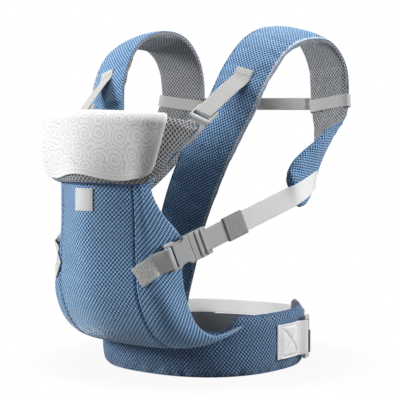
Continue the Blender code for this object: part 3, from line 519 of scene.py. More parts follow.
def printedCotton(name, ground, ink):
    # fine plain weave with a pale printed line pattern of ripple rings
    made, tree, shader = newMaterial(name, 0.85, 0.1)
    uv = weaveMap(tree)
    yarn = cottonLook["yarn"]
    values = {"Light": ground, "GrooveShade": cottonLook["shade"], "Rib": yarn, "Weft": yarn}
    weave = placedGroup(tree, tapeWeave, uv, values)
    drift = noise(tree, uv, cottonLook["driftScale"]).node.outputs["Color"]
    offset = scaled(tree, vectors(tree, "SUBTRACT", drift, (0.5, 0.5, 0.5)), cottonLook["drift"])
    drawn = vectors(tree, "MULTIPLY", vectors(tree, "ADD", uv, offset), (1.0, 1.0, 0.0))
    sockets = {"Vector": drawn, "Scale": cottonLook["cellScale"], "Randomness": cottonLook["scatter"]}
    cells = place(tree, "TexVoronoi", sockets=sockets, voronoi_dimensions="2D")
    rings = times(tree, cells.outputs["Distance"], cottonLook["rings"])
    edge = maths(tree, "ABSOLUTE", maths(tree, "SUBTRACT", maths(tree, "FRACT", rings), 0.5))
    line = times(tree, span(tree, edge, *cottonLook["ringEdge"], 1.0, 0.0), cottonLook["lineShare"])
    edges = place(tree, "SeparateXYZ", weaveMap(tree, "edge")).outputs
    fromEdge = maths(tree, "MINIMUM", edges[0], edges[1])
    inside = span(tree, fromEdge, *cottonLook["margin"])
    fromSeam = maths(tree, "ABSOLUTE", maths(tree, "SUBTRACT", fromEdge, cottonLook["sewnPlace"]))
    nearest = maths(tree, "ABSOLUTE", maths(tree, "SUBTRACT", fromSeam, cottonLook["sewnHalf"]))
    sewnLine = span(tree, nearest, *cottonLook["sewnEdge"], 0.45, 0.0)
    inked = maths(tree, "MAXIMUM", times(tree, line, inside), sewnLine)
    tree.links.new(mixed(tree, inked, weave["Color"], ink), shader.inputs["Base Color"])
    bumped(tree, shader, weave["Height"], 0.25, 0.15 * mm)
    return made


# thread, depth, pitch, hole, diamond, twill and frost of each mesh cloth; depth is the painted shade in the
# holes
meshes = {
    "blueMesh": ((130, 178, 222), (7, 19, 58), 6.2 * mm, 0.24, 0.0, 0.28, 0.95),
    "beltMesh": ((132, 182, 228), (6, 16, 52), 6.2 * mm, 0.30, 0.6, 0.05, 0.5),
    "strapMesh": ((130, 178, 222), (8, 20, 60), 5.4 * mm, 0.25, 0.0, 0.1, 0.4),
    "edgeMesh": ((134, 176, 214), (40, 66, 116), 3.2 * mm, 0.2, 0.0, 0.2, 0.7),
    "bindMesh": ((222, 226, 231), (116, 121, 130), 4.2 * mm, 0.22, 0.6, 0.05, 0.3),
    "greyMesh": ((186, 187, 190), (66, 67, 70), 5.6 * mm, 0.26, 0.8, 0.05, 0.4),
    "flapMesh": ((206, 207, 209), (58, 58, 61), 7.0 * mm, 0.28, 1.0, 0.05, 0.3),
}
# light, dark, rib, weft, sheen and bump depth of each tape and thread; dark is the painted shade in the
# weave's grooves
tapes = {
    "greyTape": ((202, 202, 202), (156, 156, 157)),
    "smoothTape": ((184, 183, 182), (152, 151, 151), 1.1 * mm, 0.9 * mm, 0.06, 0.2 * mm),
    "ribbedTape": ((222, 222, 220), (170, 170, 169), 3.4 * mm, 4.0),
    "keeperTape": ((166, 166, 165), (130, 130, 130), 1.1 * mm, 0.9 * mm),
    "whiteTape": ((238, 238, 238), (214, 214, 215), 1.2 * mm, 0.9 * mm, 0.06, 0.2 * mm),
    "bandTape": ((248, 248, 247), (232, 232, 231), 1.2 * mm, 0.9 * mm, 0.06, 0.2 * mm),
    "tackThread": ((128, 128, 128), (92, 92, 92), 0.6 * mm, 0.5 * mm),
    "darkTape": ((86, 90, 97), (48, 51, 56)),
    "thread": ((205, 205, 205), (170, 170, 170), 0.6 * mm, 0.5 * mm),
    "blueThread": ((96, 144, 200), (58, 96, 150), 0.6 * mm, 0.5 * mm),
    "blueEdge": ((76, 118, 168), (28, 50, 92), 2.2 * mm, 2.0 * mm),
    "navyEdge": ((52, 84, 134), (20, 38, 78), 1.8 * mm, 1.6 * mm),
    "paleThread": ((236, 236, 234), (210, 210, 208), 0.6 * mm, 0.5 * mm),
    "labelCloth": ((208, 209, 211), (188, 189, 191), 0.6 * mm, 0.5 * mm, 0.1, 0.1 * mm),
}
finish = {}
# dark is the painted shade of each cloth, in the holes of a mesh and in the grooves of a tape
for maker, table in ((meshFinish, meshes), (tapeFinish, tapes)):
    for name, (light, dark, *rest) in table.items():
        finish[name] = maker(name, srgb(*light), srgb(*dark), *rest)
finish["greyPlastic"] = plasticFinish("greyPlastic", srgb(176, 177, 178), srgb(190, 191, 192))
finish["cotton"] = printedCotton("cotton", srgb(226, 226, 226), srgb(180, 180, 182))
print("finishes ready")


# mesh builders
def quads(index):
    return np.stack((index[:-1, :-1], index[:-1, 1:], index[1:, 1:], index[1:, :-1]), -1).reshape(-1, 4)


def newPiece(name, verts, faces, uvs, finishes, slots=None, edges=None):
    # uvs holds one pair for each corner of each face, in metres of cloth
    mesh = bpy.data.meshes.new(name)
    mesh.from_pydata(np.asarray(verts).tolist(), [], [list(map(int, f)) for f in faces])
    for label, pairs in (("weave", uvs), ("edge", edges)):
        if pairs is not None:
            layer = mesh.uv_layers.new(name=label)
            layer.uv.foreach_set("vector", np.asarray(pairs, np.float32).ravel())
    for one in finishes:
        mesh.materials.append(finish[one])
    if slots is not None:
        mesh.polygons.foreach_set("material_index", np.asarray(slots, np.int32))
    shaped = bmesh.new()
    shaped.from_mesh(mesh)
    bmesh.ops.recalc_face_normals(shaped, faces=shaped.faces)
    shaped.to_mesh(mesh)
    shaped.free()
    mesh.polygons.foreach_set("use_smooth", np.ones(len(mesh.polygons), bool))
    mesh.update()
    piece = bpy.data.objects.new(name, mesh)
    scene.collection.objects.link(piece)
    return piece


def belongs(piece, body, slot, *nodes):
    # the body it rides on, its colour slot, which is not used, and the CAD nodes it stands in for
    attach(piece, body)
    if nodes:
        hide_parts(*nodes)


def running(points, axis=0):
    # lengths from the first point on, along one way of the points
    steps = np.linalg.norm(np.diff(points, axis=axis), axis=-1).cumsum(axis)
    return np.concatenate((np.zeros_like(steps.take([0], axis)), steps), axis)


def clothLengths(points):
    # lengths across and along a grid of points, counted from its middle
    across, along = running(points, 1), running(points, 0)
    middle = points.shape[1] // 2
    along = np.repeat(along[:, middle : middle + 1], points.shape[1], 1)
    return np.stack((across - across[:, middle : middle + 1], along), -1)


def levelLengths(points):
    # the same, with the heights kept level
    return np.stack((clothLengths(points)[..., 0], points[..., 2]), -1)


def readVectors(items, key):
    values = np.empty(len(items) * 3, np.float32)
    items.foreach_get(key, values)
    return values.reshape(-1, 3)


# cloth simulation of the padded pieces, with the most that a point may move
clothRun = {"frames": 14, "quality": 5, "pressure": 4.0, "bending": 0.5, "ease": 0.03}
clothRun.update(swell=0.4 * mm, sink=2.4 * mm, slide=1.0 * mm)


def settle(piece, seam):
    # the skins have some ease, are held at the seam and blown up by the filling
    mesh = piece.data
    start = readVectors(mesh.vertices, "co")
    outward = readVectors(mesh.vertex_normals, "vector")
    held = piece.vertex_groups.new(name="seam")
    held.add([int(k) for k in seam], 1.0, "REPLACE")
    cover = piece.modifiers.new("settle", "CLOTH")
    cover.settings.quality = clothRun["quality"]
    cover.settings.vertex_group_mass = "seam"
    cover.settings.use_pressure = True
    cover.settings.uniform_pressure_force = clothRun["pressure"]
    cover.settings.effector_weights.gravity = 0.0
    cover.settings.shrink_min = -clothRun["ease"]
    cover.settings.bending_stiffness = clothRun["bending"]
    cover.collision_settings.use_collision = False
    cover.point_cache.frame_start = 1
    cover.point_cache.frame_end = clothRun["frames"]
    for frameNumber in range(1, clothRun["frames"] + 1):
        scene.frame_set(frameNumber)
    shown = piece.evaluated_get(bpy.context.evaluated_depsgraph_get())
    settled = readVectors(shown.to_mesh().vertices, "co")
    shown.to_mesh_clear()
    piece.modifiers.remove(cover)
    piece.vertex_groups.remove(held)
    scene.frame_set(1)
    move = settled - start
    rise = dot(move, outward)
    slide = move - rise * outward
    far = np.linalg.norm(slide, axis=1, keepdims=True)
    slide = slide * np.minimum(1, clothRun["slide"] / np.maximum(far, 1e-9))
    print(piece.name, "settled", np.round(np.percentile(rise / mm, (1, 10, 50, 90, 99)), 2))
    capped = np.clip(rise, -clothRun["sink"], clothRun["swell"])
    mesh.vertices.foreach_set("co", (start + slide + capped * outward).ravel())
    mesh.update()


def pad(name, us, vs, where, outs, rolls, finishes, banded=None, toEdge=None, lay=clothLengths, eased=False):
    # two skins that meet in a seam all round: where(u, v, out), with the outs of top, seam and bottom
    u, v = np.meshgrid(us, vs)
    share = rolled(u, rolls[0]) * rolled(v, rolls[1])
    top, rim, bottom = (out(u, v) if callable(out) else np.full_like(u, out) for out in outs)
    outer = where(u, v, rim + (top - rim) * share)
    inner = where(u, v, rim - (rim - bottom) * share)
    rows, columns = u.shape
    edge = np.zeros((rows, columns), bool)
    edge[[0, -1]] = True
    edge[:, [0, -1]] = True
    first = np.arange(rows * columns).reshape(rows, columns)
    second = first.copy()
    second[~edge] = rows * columns + np.arange((~edge).sum())
    verts = np.concatenate((outer.reshape(-1, 3), inner[~edge]))
    cells = quads(first)
    faces = np.concatenate((cells, quads(second)[:, ::-1]))
    uvs = np.concatenate((lay(outer).reshape(-1, 2)[cells], lay(inner).reshape(-1, 2)[cells[:, ::-1]]))
    slots = np.repeat((0, len(finishes) - 1), len(cells))
    if banded is not None:
        slots[: len(cells)][banded(u.ravel()[cells].mean(1), v.ravel()[cells].mean(1))] = 1
    edges = None
    if toEdge is not None:
        edges = np.stack(toEdge(u, v), -1).reshape(-1, 2)
        edges = np.concatenate((edges[cells], edges[cells[:, ::-1]]))
    piece = newPiece(name, verts, faces, uvs, finishes, slots, edges)
    if eased:
        settle(piece, np.flatnonzero(edge))
    rimLine = np.concatenate((outer[0], outer[1:, -1], outer[-1, -2::-1], outer[-2:0:-1, 0]))
    return piece, rimLine, outer


def sweep(name, rings, around, line, look, closed=False):
    # rings of points along a line, joined into a closed band or capped at both ends
    rows, count = rings.shape[:2]
    index = np.arange(rows * count).reshape(rows, count)
    index = np.concatenate((index, index[:, :1]), 1)
    alongs = running(line)
    if closed:
        index = np.concatenate((index, index[:1]))
        alongs = np.append(alongs, alongs[-1] + np.linalg.norm(line[0] - line[-1]))
    u, v = np.meshgrid(around, alongs)
    corners = quads(np.arange(index.size).reshape(index.shape))
    pairs = np.stack((u, v), -1).reshape(-1, 2)
    faces = list(quads(index))
    uvs = list(pairs[corners].reshape(-1, 2))
    if not closed:
        for ring, order in ((0, slice(None, None, -1)), (rows - 1, slice(None))):
            faces.append(index[ring, :-1][order])
            uvs.extend(np.stack((u[ring, :-1], v[ring, :-1]), -1)[order])
    return newPiece(name, rings.reshape(-1, 3), faces, np.array(uvs), [look])


def tapeSection(width, thick, count=9):
    # outline of a flat tape with rounded edges, as sideways and outward places
    r = thick / 2
    flat = np.linspace(-(width / 2 - r), width / 2 - r, count)
    bow = np.radians((60, 25, -25, -60))
    xs = np.concatenate((flat, flat[-1] + r * np.cos(bow), flat[::-1], flat[0] - r * np.cos(bow)))
    zs = np.concatenate((np.full(count, thick), r + r * np.sin(bow), np.zeros(count), r - r * np.sin(bow)))
    return xs, zs


def tape(name, points, normals, width, thick, look, samples, lift=0.0, closed=False):
    # a flat webbing through the points; returns the piece and a function for places on its face
    rows = np.concatenate((np.array(points, float), unit(np.array(normals, float))), -1)
    if closed:
        centre = rows[:, :3]
        along = unit(np.roll(centre, -1, 0) - np.roll(centre, 1, 0))
        across = unit(np.cross(along, rows[:, 3:]))
        normal = np.cross(across, along)
    else:
        centre, _, across, normal = bandFrame(rows, np.linspace(0, len(rows) - 1, samples))
    xs, zs = tapeSection(width, thick)
    wide, high = xs[None, :, None], (zs + lift)[None, :, None]
    rings = centre[:, None] + across[:, None] * wide + normal[:, None] * high
    piece = sweep(name, rings, np.append(xs, xs[0]), centre, look, closed)

    def face(x, share):
        spot, _, side, up = bandFrame(rows, np.asarray(share) * (len(rows) - 1))
        return spot + side * np.asarray(x)[..., None] + up * (thick + lift), up

    return piece, face


def cordTube(name, line, radius, look, closed=False, body="carrier", sides=8):
    # piping along a line of points
    line = straight(line)
    ahead = np.roll(line, -1, 0) - np.roll(line, 1, 0)
    if not closed:
        ahead[0] = line[1] - line[0]
        ahead[-1] = line[-1] - line[-2]
    ahead = unit(ahead)
    level = np.abs(ahead[:, 2:]) < 0.9
    side = unit(np.cross(ahead, np.where(level, np.array((0, 0, 1.0)), np.array((1.0, 0, 0)))))
    for k in range(1, len(line)):
        carried = side[k - 1] - ahead[k] * np.dot(side[k - 1], ahead[k])
        side[k] = carried / np.linalg.norm(carried)
    up = np.cross(ahead, side)
    angles = np.linspace(0, 2 * math.pi, sides, endpoint=False)[None, :, None]
    rings = line[:, None] + radius * (side[:, None] * np.cos(angles) + up[:, None] * np.sin(angles))
    piece = sweep(name, rings, np.linspace(0, 2 * math.pi * radius, sides + 1), line, look, closed)
    if body:
        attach(piece, body)
    return piece


def resampled(line, ups, pitch, step=0.4 * mm):
    lengths = running(line)
    count = max(2, int(lengths[-1] / pitch))
    at = (np.arange(count) + 0.5) / count * lengths[-1]

    def read(table, shift=0.0):
        return np.stack([np.interp(at + shift, lengths, table[:, k]) for k in range(3)], -1)

    return read(line), unit(read(line, step) - read(line, -step)), unit(read(ups))


def stitches(name, runs, look, pitch=3.6 * mm, length=2.7 * mm, radius=0.42 * mm, body="carrier"):
    # short raised threads along each run, which is a line of points and its outward directions
    verts, faces, uvs = [], [], []
    stations = ((-1.0, 0.35), (-0.7, 0.9), (0.0, 1.15), (0.7, 0.9), (1.0, 0.35))
    angles = np.linspace(0, 2 * math.pi, 6, endpoint=False)
    shape = (len(stations), len(angles))
    for line, ups in runs:
        for spot, ahead, up in zip(*resampled(np.asarray(line), np.asarray(ups), pitch)):
            side = np.cross(up, ahead)
            ring = len(verts) + np.arange(shape[0] * shape[1]).reshape(shape)
            for x, wide in stations:
                for angle in angles:
                    offset = side * math.cos(angle) + up * (math.sin(angle) * 0.8 - 0.1)
                    verts.append(spot + ahead * x * length / 2 + offset * radius * wide)
            ring = np.concatenate((ring, ring[:, :1]), 1)
            faces.extend(quads(ring))
            faces.extend((ring[0, :-1][::-1], ring[-1, :-1]))
    for face in faces:
        uvs.extend((0.1 * mm * k, 0.2 * mm * k) for k in range(len(face)))
    piece = newPiece(name, verts, faces, np.array(uvs), [look])
    if body:
        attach(piece, body)
    return piece


def sidePieces(make):
    # the wearer's left, then the right as its mirror
    make("left", straight)
    make("right", mirror)


# waist belt
beltLook = {"columns": 150, "rows": 16, "rimOut": 5.0 * mm, "roll": 9 * mm, "cornerRound": 14 * mm}
beltLook.update(halfLength=0.40, rollV=0.2, swell=0.35 * mm, low=0.3 * mm, piping=0.9 * mm)


def makeBelt():
    rollU = beltLook["roll"] / beltLook["halfLength"]
    us = edged(beltLook["columns"], rollU)
    vs = edged(beltLook["rows"], beltLook["roll"] / (belt["height"] / 2))

    def where(u, v, out):
        turn = u * belt["endTurn"]
        low, high = beltSpan(turn)
        fromEnd = (1 - np.abs(u)) * beltLook["halfLength"]
        cut = beltLook["cornerRound"] * (1 - quarter(fromEnd / beltLook["cornerRound"]))
        low, high = low + cut, high - cut
        return beltPoint(turn, low + (high - low) * (v + 1) / 2, out)[0]

    def top(u, v):
        swell = beltLook["swell"] * ripple(u * 22, v * 2.0, 1.3)
        return 2 * cloth["skin"] + belt["foam"] * crown(v) + 2 * gap + swell

    outs, rolls = (top, beltLook["rimOut"], beltLook["low"]), (rollU, beltLook["rollV"])
    layers = ["beltMesh", "greyMesh"]
    piece, rim, _ = pad("beltPad", us, vs, where, outs, rolls, layers, lay=levelLengths, eased=True)
    belongs(piece, "carrier", "blue_mesh", "belt_cover", "belt_foam", "belt_lining")
    cordTube("beltPiping", rim, beltLook["piping"], "blueEdge", closed=True)


# shoulder straps
strapLook = {"columns": 22, "rows": 190, "rimOut": 1.6 * mm, "rimDrop": 6.4 * mm, "roll": 7 * mm}
strapLook.update(piping=0.7 * mm, halfLength=0.46, tuck=16 * mm, tuckShare=0.6)
strapLook.update(swell=0.3 * mm, low=0.2 * mm, rollU=0.13)
strapLook.update(dropRow=11.6, dropRows=1.2, boundShare=0.87, boundRow=11)


def makeStraps():
    rollV = strapLook["roll"] / strapLook["halfLength"]
    us = edged(strapLook["columns"], strapLook["roll"] / (strap["width"] / 2))
    vs = edged(strapLook["rows"], rollV)

    def station(v):
        return (v + 1) / 2 * strapLast

    def top(u, v):
        return strapSkin(u) + strapLook["swell"] * ripple(v * 40, u * 2, 0.4) * (1 - u**2)

    def rimOut(u, v):
        # the seam runs on the edge at the shoulder and under the edge at the flank
        late = smooth((station(v) - strapLook["dropRow"]) / strapLook["dropRows"])
        return strapLook["rimOut"] - strapLook["rimDrop"] * late

    def bound(u, v):
        return (u > strapLook["boundShare"]) & (station(v) < strapLook["boundRow"])

    outs = (top, rimOut, -strap["thick"] / 2 + strapLook["low"])
    rolls = (strapLook["rollU"], rollV)
    layers = ["strapMesh", "bindMesh", "greyMesh"]

    def make(word, turned):
        def where(u, v, out):
            fromEnd = (1 - v) * strapLook["halfLength"]
            late = 1 - np.clip(fromEnd / strapLook["tuck"], 0, 1)
            tuck = np.sqrt(np.clip(1 - strapLook["tuckShare"] * late**2, 0, 1))
            return turned(strapPoint(station(v), u * tuck, out))

        piece, rim, _ = pad("strapPad_" + word, us, vs, where, outs, rolls, layers, bound, eased=True)
        nodes = [f"strap_{layer}_{word}" for layer in ("cover", "foam", "lining")]
        belongs(piece, "carrier", "blue_mesh", *nodes)
        cordTube("strapPiping_" + word, rim, strapLook["piping"], "blueThread", closed=True)

    sidePieces(make)


# seat panel
panelLook = {"rows": 90, "middleColumns": 44, "wingColumns": 30, "seamRoll": 6 * mm, "edgeRoll": 5 * mm}
panelLook.update(halfLength=0.21, halfMiddle=0.08, hemRow=0.55, hemWide=0.07, hemDeep=1.0 * mm)
panelLook.update(liningColumns=70, liningRoll=0.02, liningEdge=2.88, wingRoll=0.16, piping=1.5 * mm)


def flatSize(points):
    # width and length of a sheet before it was sewn, and its area
    across = np.linalg.norm(np.diff(points, axis=1), axis=-1)
    along = np.linalg.norm(np.diff(points, axis=0), axis=-1)
    corner = points[:-1, :-1]
    cells = np.linalg.norm(np.cross(points[1:, :-1] - corner, points[:-1, 1:] - corner), axis=-1)
    size = (float(across.sum(1).max()), float(along.sum(0).max()))
    return size, min(float(cells.sum()), size[0] * size[1])


def declareSheet(piece, points):
    size, area = flatSize(points)


def makePanel():
    rollV = panelLook["edgeRoll"] / panelLook["halfLength"]
    vs = edged(panelLook["rows"], rollV)
    thick = panel["thick"]

    def hem(h):
        return panelLook["hemDeep"] * np.exp(-(((h - panelLook["hemRow"]) / panelLook["hemWide"]) ** 2))

    def patch(c0, c1, turned):
        def where(u, v, out):
            return turned(panelPoint(c0 + (c1 - c0) * (u + 1) / 2, (v + 1) / 2 * panelTop, out))

        return where

    roll, reach = panelLook["liningRoll"], panelLook["liningEdge"]
    us = edged(panelLook["liningColumns"], roll)
    outs = (cloth["skin"], 1.2 * mm, 0.1 * mm)
    where = patch(-reach, reach, straight)
    lining, _, flat = pad("panelLining", us, vs, where, outs, (roll, rollV), ["greyMesh"])
    declareSheet(lining, flat)
    belongs(lining, "carrier", "grey_mesh", "panel_lining")

    def middleTop(u, v):
        return thick - hem((v + 1) / 2 * panelTop) + 0.35 * mm * ripple(u * 4, v * 9, 2.2) * (1 - u**2)

    roll = panelLook["seamRoll"] / panelLook["halfMiddle"]
    base = cloth["skin"] + 0.2 * mm
    us = edged(panelLook["middleColumns"], roll)
    outs = (middleTop, base + 0.3 * mm, base)
    where = patch(-0.995, 0.995, straight)
    middle, _, flat = pad("panelMiddle", us, vs, where, outs, (roll, rollV), ["blueMesh"])
    declareSheet(middle, flat)
    belongs(middle, "carrier", "blue_mesh", "panel_middle")

    def rim(u, v):
        return np.where(u > 0, 1.4 * mm, base + 0.3 * mm)

    def top(u, v):
        return thick - hem((v + 1) / 2 * panelTop) + 0.3 * mm * ripple(u * 3, v * 8, 5.1) * (1 - u**2)

    def bottom(u, v):
        return base - (base - 0.1 * mm) * smooth((u - 0.93) / 0.05)

    def make(word, turned):
        us = edged(panelLook["wingColumns"], panelLook["wingRoll"])
        where, rolls = patch(1.005, panelEdge, turned), (panelLook["wingRoll"], rollV)
        wing, _, flat = pad("panelWing_" + word, us, vs, where, (top, rim, bottom), rolls, ["blueMesh"])
        declareSheet(wing, flat)
        belongs(wing, "carrier", "blue_mesh", "panel_wing_" + word)
        hs = np.linspace(0.15, panelTop - 0.6, 160)
        line = turned(panelPoint(2.985, hs, 1.6 * mm))
        cordTube("wingPiping_" + word, line, panelLook["piping"], "edgeMesh")
        hs = np.linspace(0.4, 7.6, 120)
        runs = []
        for c in (0.94, 1.07):
            line = panelPoint(c, hs, thick - 0.1 * mm)
            runs.append((turned(line), turned(panelNormal(np.full_like(hs, c), hs))))
        stitches("panelSeamStitch_" + word, runs, "blueThread")

    sidePieces(make)
    cs = np.linspace(-2.75, 2.75, 160)
    rows = np.full_like(cs, panelLook["hemRow"])
    runs = [(panelPoint(cs, rows, thick - 1.1 * mm), panelNormal(cs, rows))]
    stitches("panelHemStitch", runs, "blueThread")


# label patch, left bare
labelLook = {"halfWidth": 15 * mm, "panelStep": 69 * mm, "low": 6.66, "high": 7.66}
labelLook.update(thick=1.0 * mm, lift=0.5 * mm, roll=0.08, columns=30, rows=34)
labelLook.update(line=0.86, lineWide=0.04, lineDeep=0.35 * mm, sewn=0.87)


def makeLabel():
    reach = labelLook["halfWidth"] / labelLook["panelStep"]
    low, high, roll = labelLook["low"], labelLook["high"], labelLook["roll"]

    def where(u, v, out):
        row = low + (high - low) * (v + 1) / 2
        return panelPoint(u * reach, row, panel["thick"] + labelLook["lift"] + out)

    def top(u, v):
        fromLine = np.maximum(np.abs(u), np.abs(v)) - labelLook["line"]
        return labelLook["thick"] - labelLook["lineDeep"] * np.exp(-((fromLine / labelLook["lineWide"]) ** 2))

    us, vs = edged(labelLook["columns"], roll), edged(labelLook["rows"], roll)
    outs = (top, 0.3 * mm, 0.05 * mm)
    patch, _, flat = pad("labelPatch", us, vs, where, outs, (roll, roll), ["labelCloth"])
    belongs(patch, "carrier", "grey_web", "panel_label")
    runs = []
    sewn = labelLook["sewn"]
    side, end = np.linspace(-sewn, sewn, 30), np.full(30, sewn)
    for u, v in ((side, end), (side, -end), (end, side), (-end, side)):
        line = where(u, v, labelLook["thick"] - 0.2 * mm)
        runs.append((line, panelNormal(u * reach, (low + high) / 2 + v * 0.5)))
    sewnEdge = stitches("labelStitch", runs, "thread", 2.4 * mm, 1.8 * mm, 0.28 * mm)
    declareSheet(patch, flat)


# head flap
flapLook = {"margin": 0.10, "edgeRow": 7.9, "edgeRise": 1.1, "rollShare": 4 / 9}
flapLook.update(gap=0.97 * mm, foam=5.0 * mm)
flapLook.update(seamShare=0.94, seamRise=-0.1 * mm, seamRadius=2.4 * mm, seamCount=60, piping=1.2 * mm)
flapLook.update(foldTop=(0.0, -0.27, 0.398), foldLow=(0.0, -0.27, 0.298))
flapLook.update(columns=64, rows=44, rolls=(0.06, 0.14), rimRise=4.2 * mm, boundSide=0.945, boundLow=-0.965)
flapLook["reach"] = panelEdge - flapLook["margin"]
flapLook["low"] = panel["thick"] + flapLook["gap"]
flapLook["high"] = flapLook["low"] + 2 * cloth["skin"] + flapLook["foam"] + 4 * gap


def fallen(v, bottom):
    row = (1 - v) / 2
    share = flapLook["rollShare"]
    return np.where(row <= share, row / share, 1 + bottom * (row - share) / (1 - share))


def foldsWithFlap(piece):
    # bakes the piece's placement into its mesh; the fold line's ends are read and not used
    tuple(flapLook["foldTop"])
    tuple(flapLook["foldLow"])
    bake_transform(piece)


def makeHeadFlap():
    low, rolls = flapLook["low"], flapLook["rolls"]

    def where(u, v, out):
        bottom = panelTop - flapLook["edgeRow"] - flapLook["edgeRise"] * np.abs(u) ** 3
        return crestPoint(u * flapLook["reach"], fallen(v, bottom), out)

    def top(u, v):
        return flapLook["high"] - 0.2 * mm - 1.2 * mm * np.abs(u) ** 4 + 0.3 * mm * ripple(u * 7, v * 5, 3.0)

    def bound(u, v):
        return (np.abs(u) > flapLook["boundSide"]) | (v < flapLook["boundLow"])

    us, vs = edged(flapLook["columns"], rolls[0]), edged(flapLook["rows"], rolls[1])
    outs = (top, low + flapLook["rimRise"], low + 0.1 * mm)
    layers = ["flapMesh", "navyEdge", "blueMesh"]
    flap, rim, _ = pad("headFlap", us, vs, where, outs, rolls, layers, bound, eased=True)
    foldsWithFlap(flap)
    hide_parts("head_flap_cover", "head_flap_foam", "head_flap_lining")
    foldsWithFlap(cordTube("flapPiping", rim, flapLook["piping"], "navyEdge", True, None))

    # seam cord that closes the fold between crest and flap
    along = np.linspace(-flapLook["seamShare"], flapLook["seamShare"], flapLook["seamCount"])
    line = crestPoint(along * flapLook["reach"], 0.0, panel["thick"] + flapLook["seamRise"])
    seam = cordTube("crestSeam", line, flapLook["seamRadius"], "blueEdge")


# bib, laid over the flap
bibLook = {"row": 8.22, "wave": 0.09, "waves": 2.5, "fold": 1.6 * mm, "foldFrom": 0.45, "thick": 1.6 * mm}
bibLook.update(hang=0.25, hangFrom=0.15, hangOver=0.7, fall=28 * mm)
bibLook.update(hem=7 * mm, hemRise=0.5 * mm, hemStep=1.2 * mm)
bibLook.update(reach=flapLook["reach"] * 10 / 18, half=0.078, halfDrop=0.06)
bibLook.update(corner=0.72, cornerCut=0.85, sag=0.12)
bibLook.update(columns=90, rows=54, rolls=(0.012, 0.02), sewn=6 * mm, sewnLow=-0.93, sewnHigh=0.9)


def makeBib():
    base = flapLook["high"] + flapLook["gap"]
    reach, thick, rolls = bibLook["reach"], bibLook["thick"], bibLook["rolls"]

    def where(u, v, out):
        wave = np.cos(bibLook["waves"] * math.pi * u)
        corner = np.clip((np.abs(u) - bibLook["corner"]) / (1 - bibLook["corner"]), 0, 1)
        bottom = panelTop - bibLook["row"] - bibLook["wave"] * wave - bibLook["sag"] * np.abs(u) ** 6
        bottom = bottom - bibLook["cornerCut"] * (1 - np.sqrt(np.clip(1 - corner**2, 0, 1)))
        lower = np.maximum(0.0, (1 - v) / 2 - bibLook["foldFrom"])
        lift = base + bibLook["fold"] * (1 + wave) * lower
        drop = fallen(v, bottom)
        wrapped = crestPoint(u * reach, drop, lift + out)
        hung = crestPoint(u * reach, np.minimum(drop, 1), lift + out)
        hung[..., 2] -= np.maximum(drop - 1, 0) * bibLook["fall"]
        free = bibLook["hang"] * smooth((np.abs(u) - bibLook["hangFrom"]) / bibLook["hangOver"])
        return wrapped + (hung - wrapped) * free[..., None]

    def toEdge(u, v):
        return (1 - np.abs(u)) * bibLook["half"], (v + 1) * bibLook["halfDrop"]

    def top(u, v):
        hem = smooth((bibLook["hem"] - np.minimum(*toEdge(u, v))) / bibLook["hemStep"] + 0.5)
        return thick - bibLook["hemRise"] + bibLook["hemRise"] * hem + 0.25 * mm * ripple(u * 9, v * 6, 8.0)

    us, vs = edged(bibLook["columns"], rolls[0]), edged(bibLook["rows"], rolls[1])
    bib, _, flat = pad("bibCloth", us, vs, where, (top, 0.6 * mm, 0.1 * mm), rolls, ["cotton"], None, toEdge)
    foldsWithFlap(bib)
    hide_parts("bib")
    runs = []
    inset = 1 - bibLook["sewn"] / bibLook["half"]
    side, low = np.linspace(-inset, inset, 120), np.full(120, bibLook["sewnLow"])
    end, down = np.full(80, inset), np.linspace(bibLook["sewnLow"], bibLook["sewnHigh"], 80)
    for u, v in ((side, low), (end, down), (-end, down)):
        line = where(u, v, np.full_like(u, thick))
        runs.append((line, unit(where(u, v, np.full_like(u, 0.01)) - where(u, v, np.zeros_like(u)))))
    sewn = stitches("bibHemStitch", runs, "thread", 3.0 * mm, 2.2 * mm, 0.25 * mm, None)
    foldsWithFlap(sewn)
    declareSheet(bib, flat)


# side pulls with the release buckles
sidePull = {"webWidth": 32 * mm, "web": 1.6 * mm, "rim": 5 * mm}
sidePull.update(tabPlace=(1.06, 4.45), tabLeave=(1.85, 5.0), tabLength=18 * mm)
sidePull.update(lift=6.5 * mm, face=(0.933, -0.359, 0.018))
sidePull.update(femaleThick=10 * mm, femaleLength=38 * mm)
sidePull.update(maleLength=32 * mm, maleThick=8 * mm, maleSeat=4.9 * mm)
sidePull.update(loopStart=0.34, loopLength=66 * mm, sewn=((15.0, 0.0), (14.3, -0.2), (13.6, -0.45)))
sidePull.update(bars=((14.5 * mm, 6 * mm), (23 * mm, 4.4 * mm)), barHalf=20.4 * mm, barThick=2.4 * mm)
sidePull.update(keeperStart=102 * mm, keeperLength=34 * mm, keeperWall=1.4 * mm, keeperRound=1.6 * mm)


def roundedLoop(halfA, halfB, radius, steps=5):
    # closed outline of a rounded rectangle with outward directions
    signs = ((1, 1), (-1, 1), (-1, -1), (1, -1))
    middles = [np.array((sa * (halfA - radius), sb * (halfB - radius))) for sa, sb in signs]
    spots, outs = [], []
    for k, middle in enumerate(middles):
        for angle in np.linspace(0, math.pi / 2, steps) + k * math.pi / 2:
            outs.append(np.array((math.cos(angle), math.sin(angle))))
            spots.append(middle + radius * outs[-1])
        start, end = spots[-1], middles[(k + 1) % 4] + radius * outs[-1]
        for share in (0.2, 0.4, 0.6, 0.8):
            spots.append(start * (1 - share) + end * share)
            outs.append(outs[-1])
    return np.array(spots), np.array(outs)


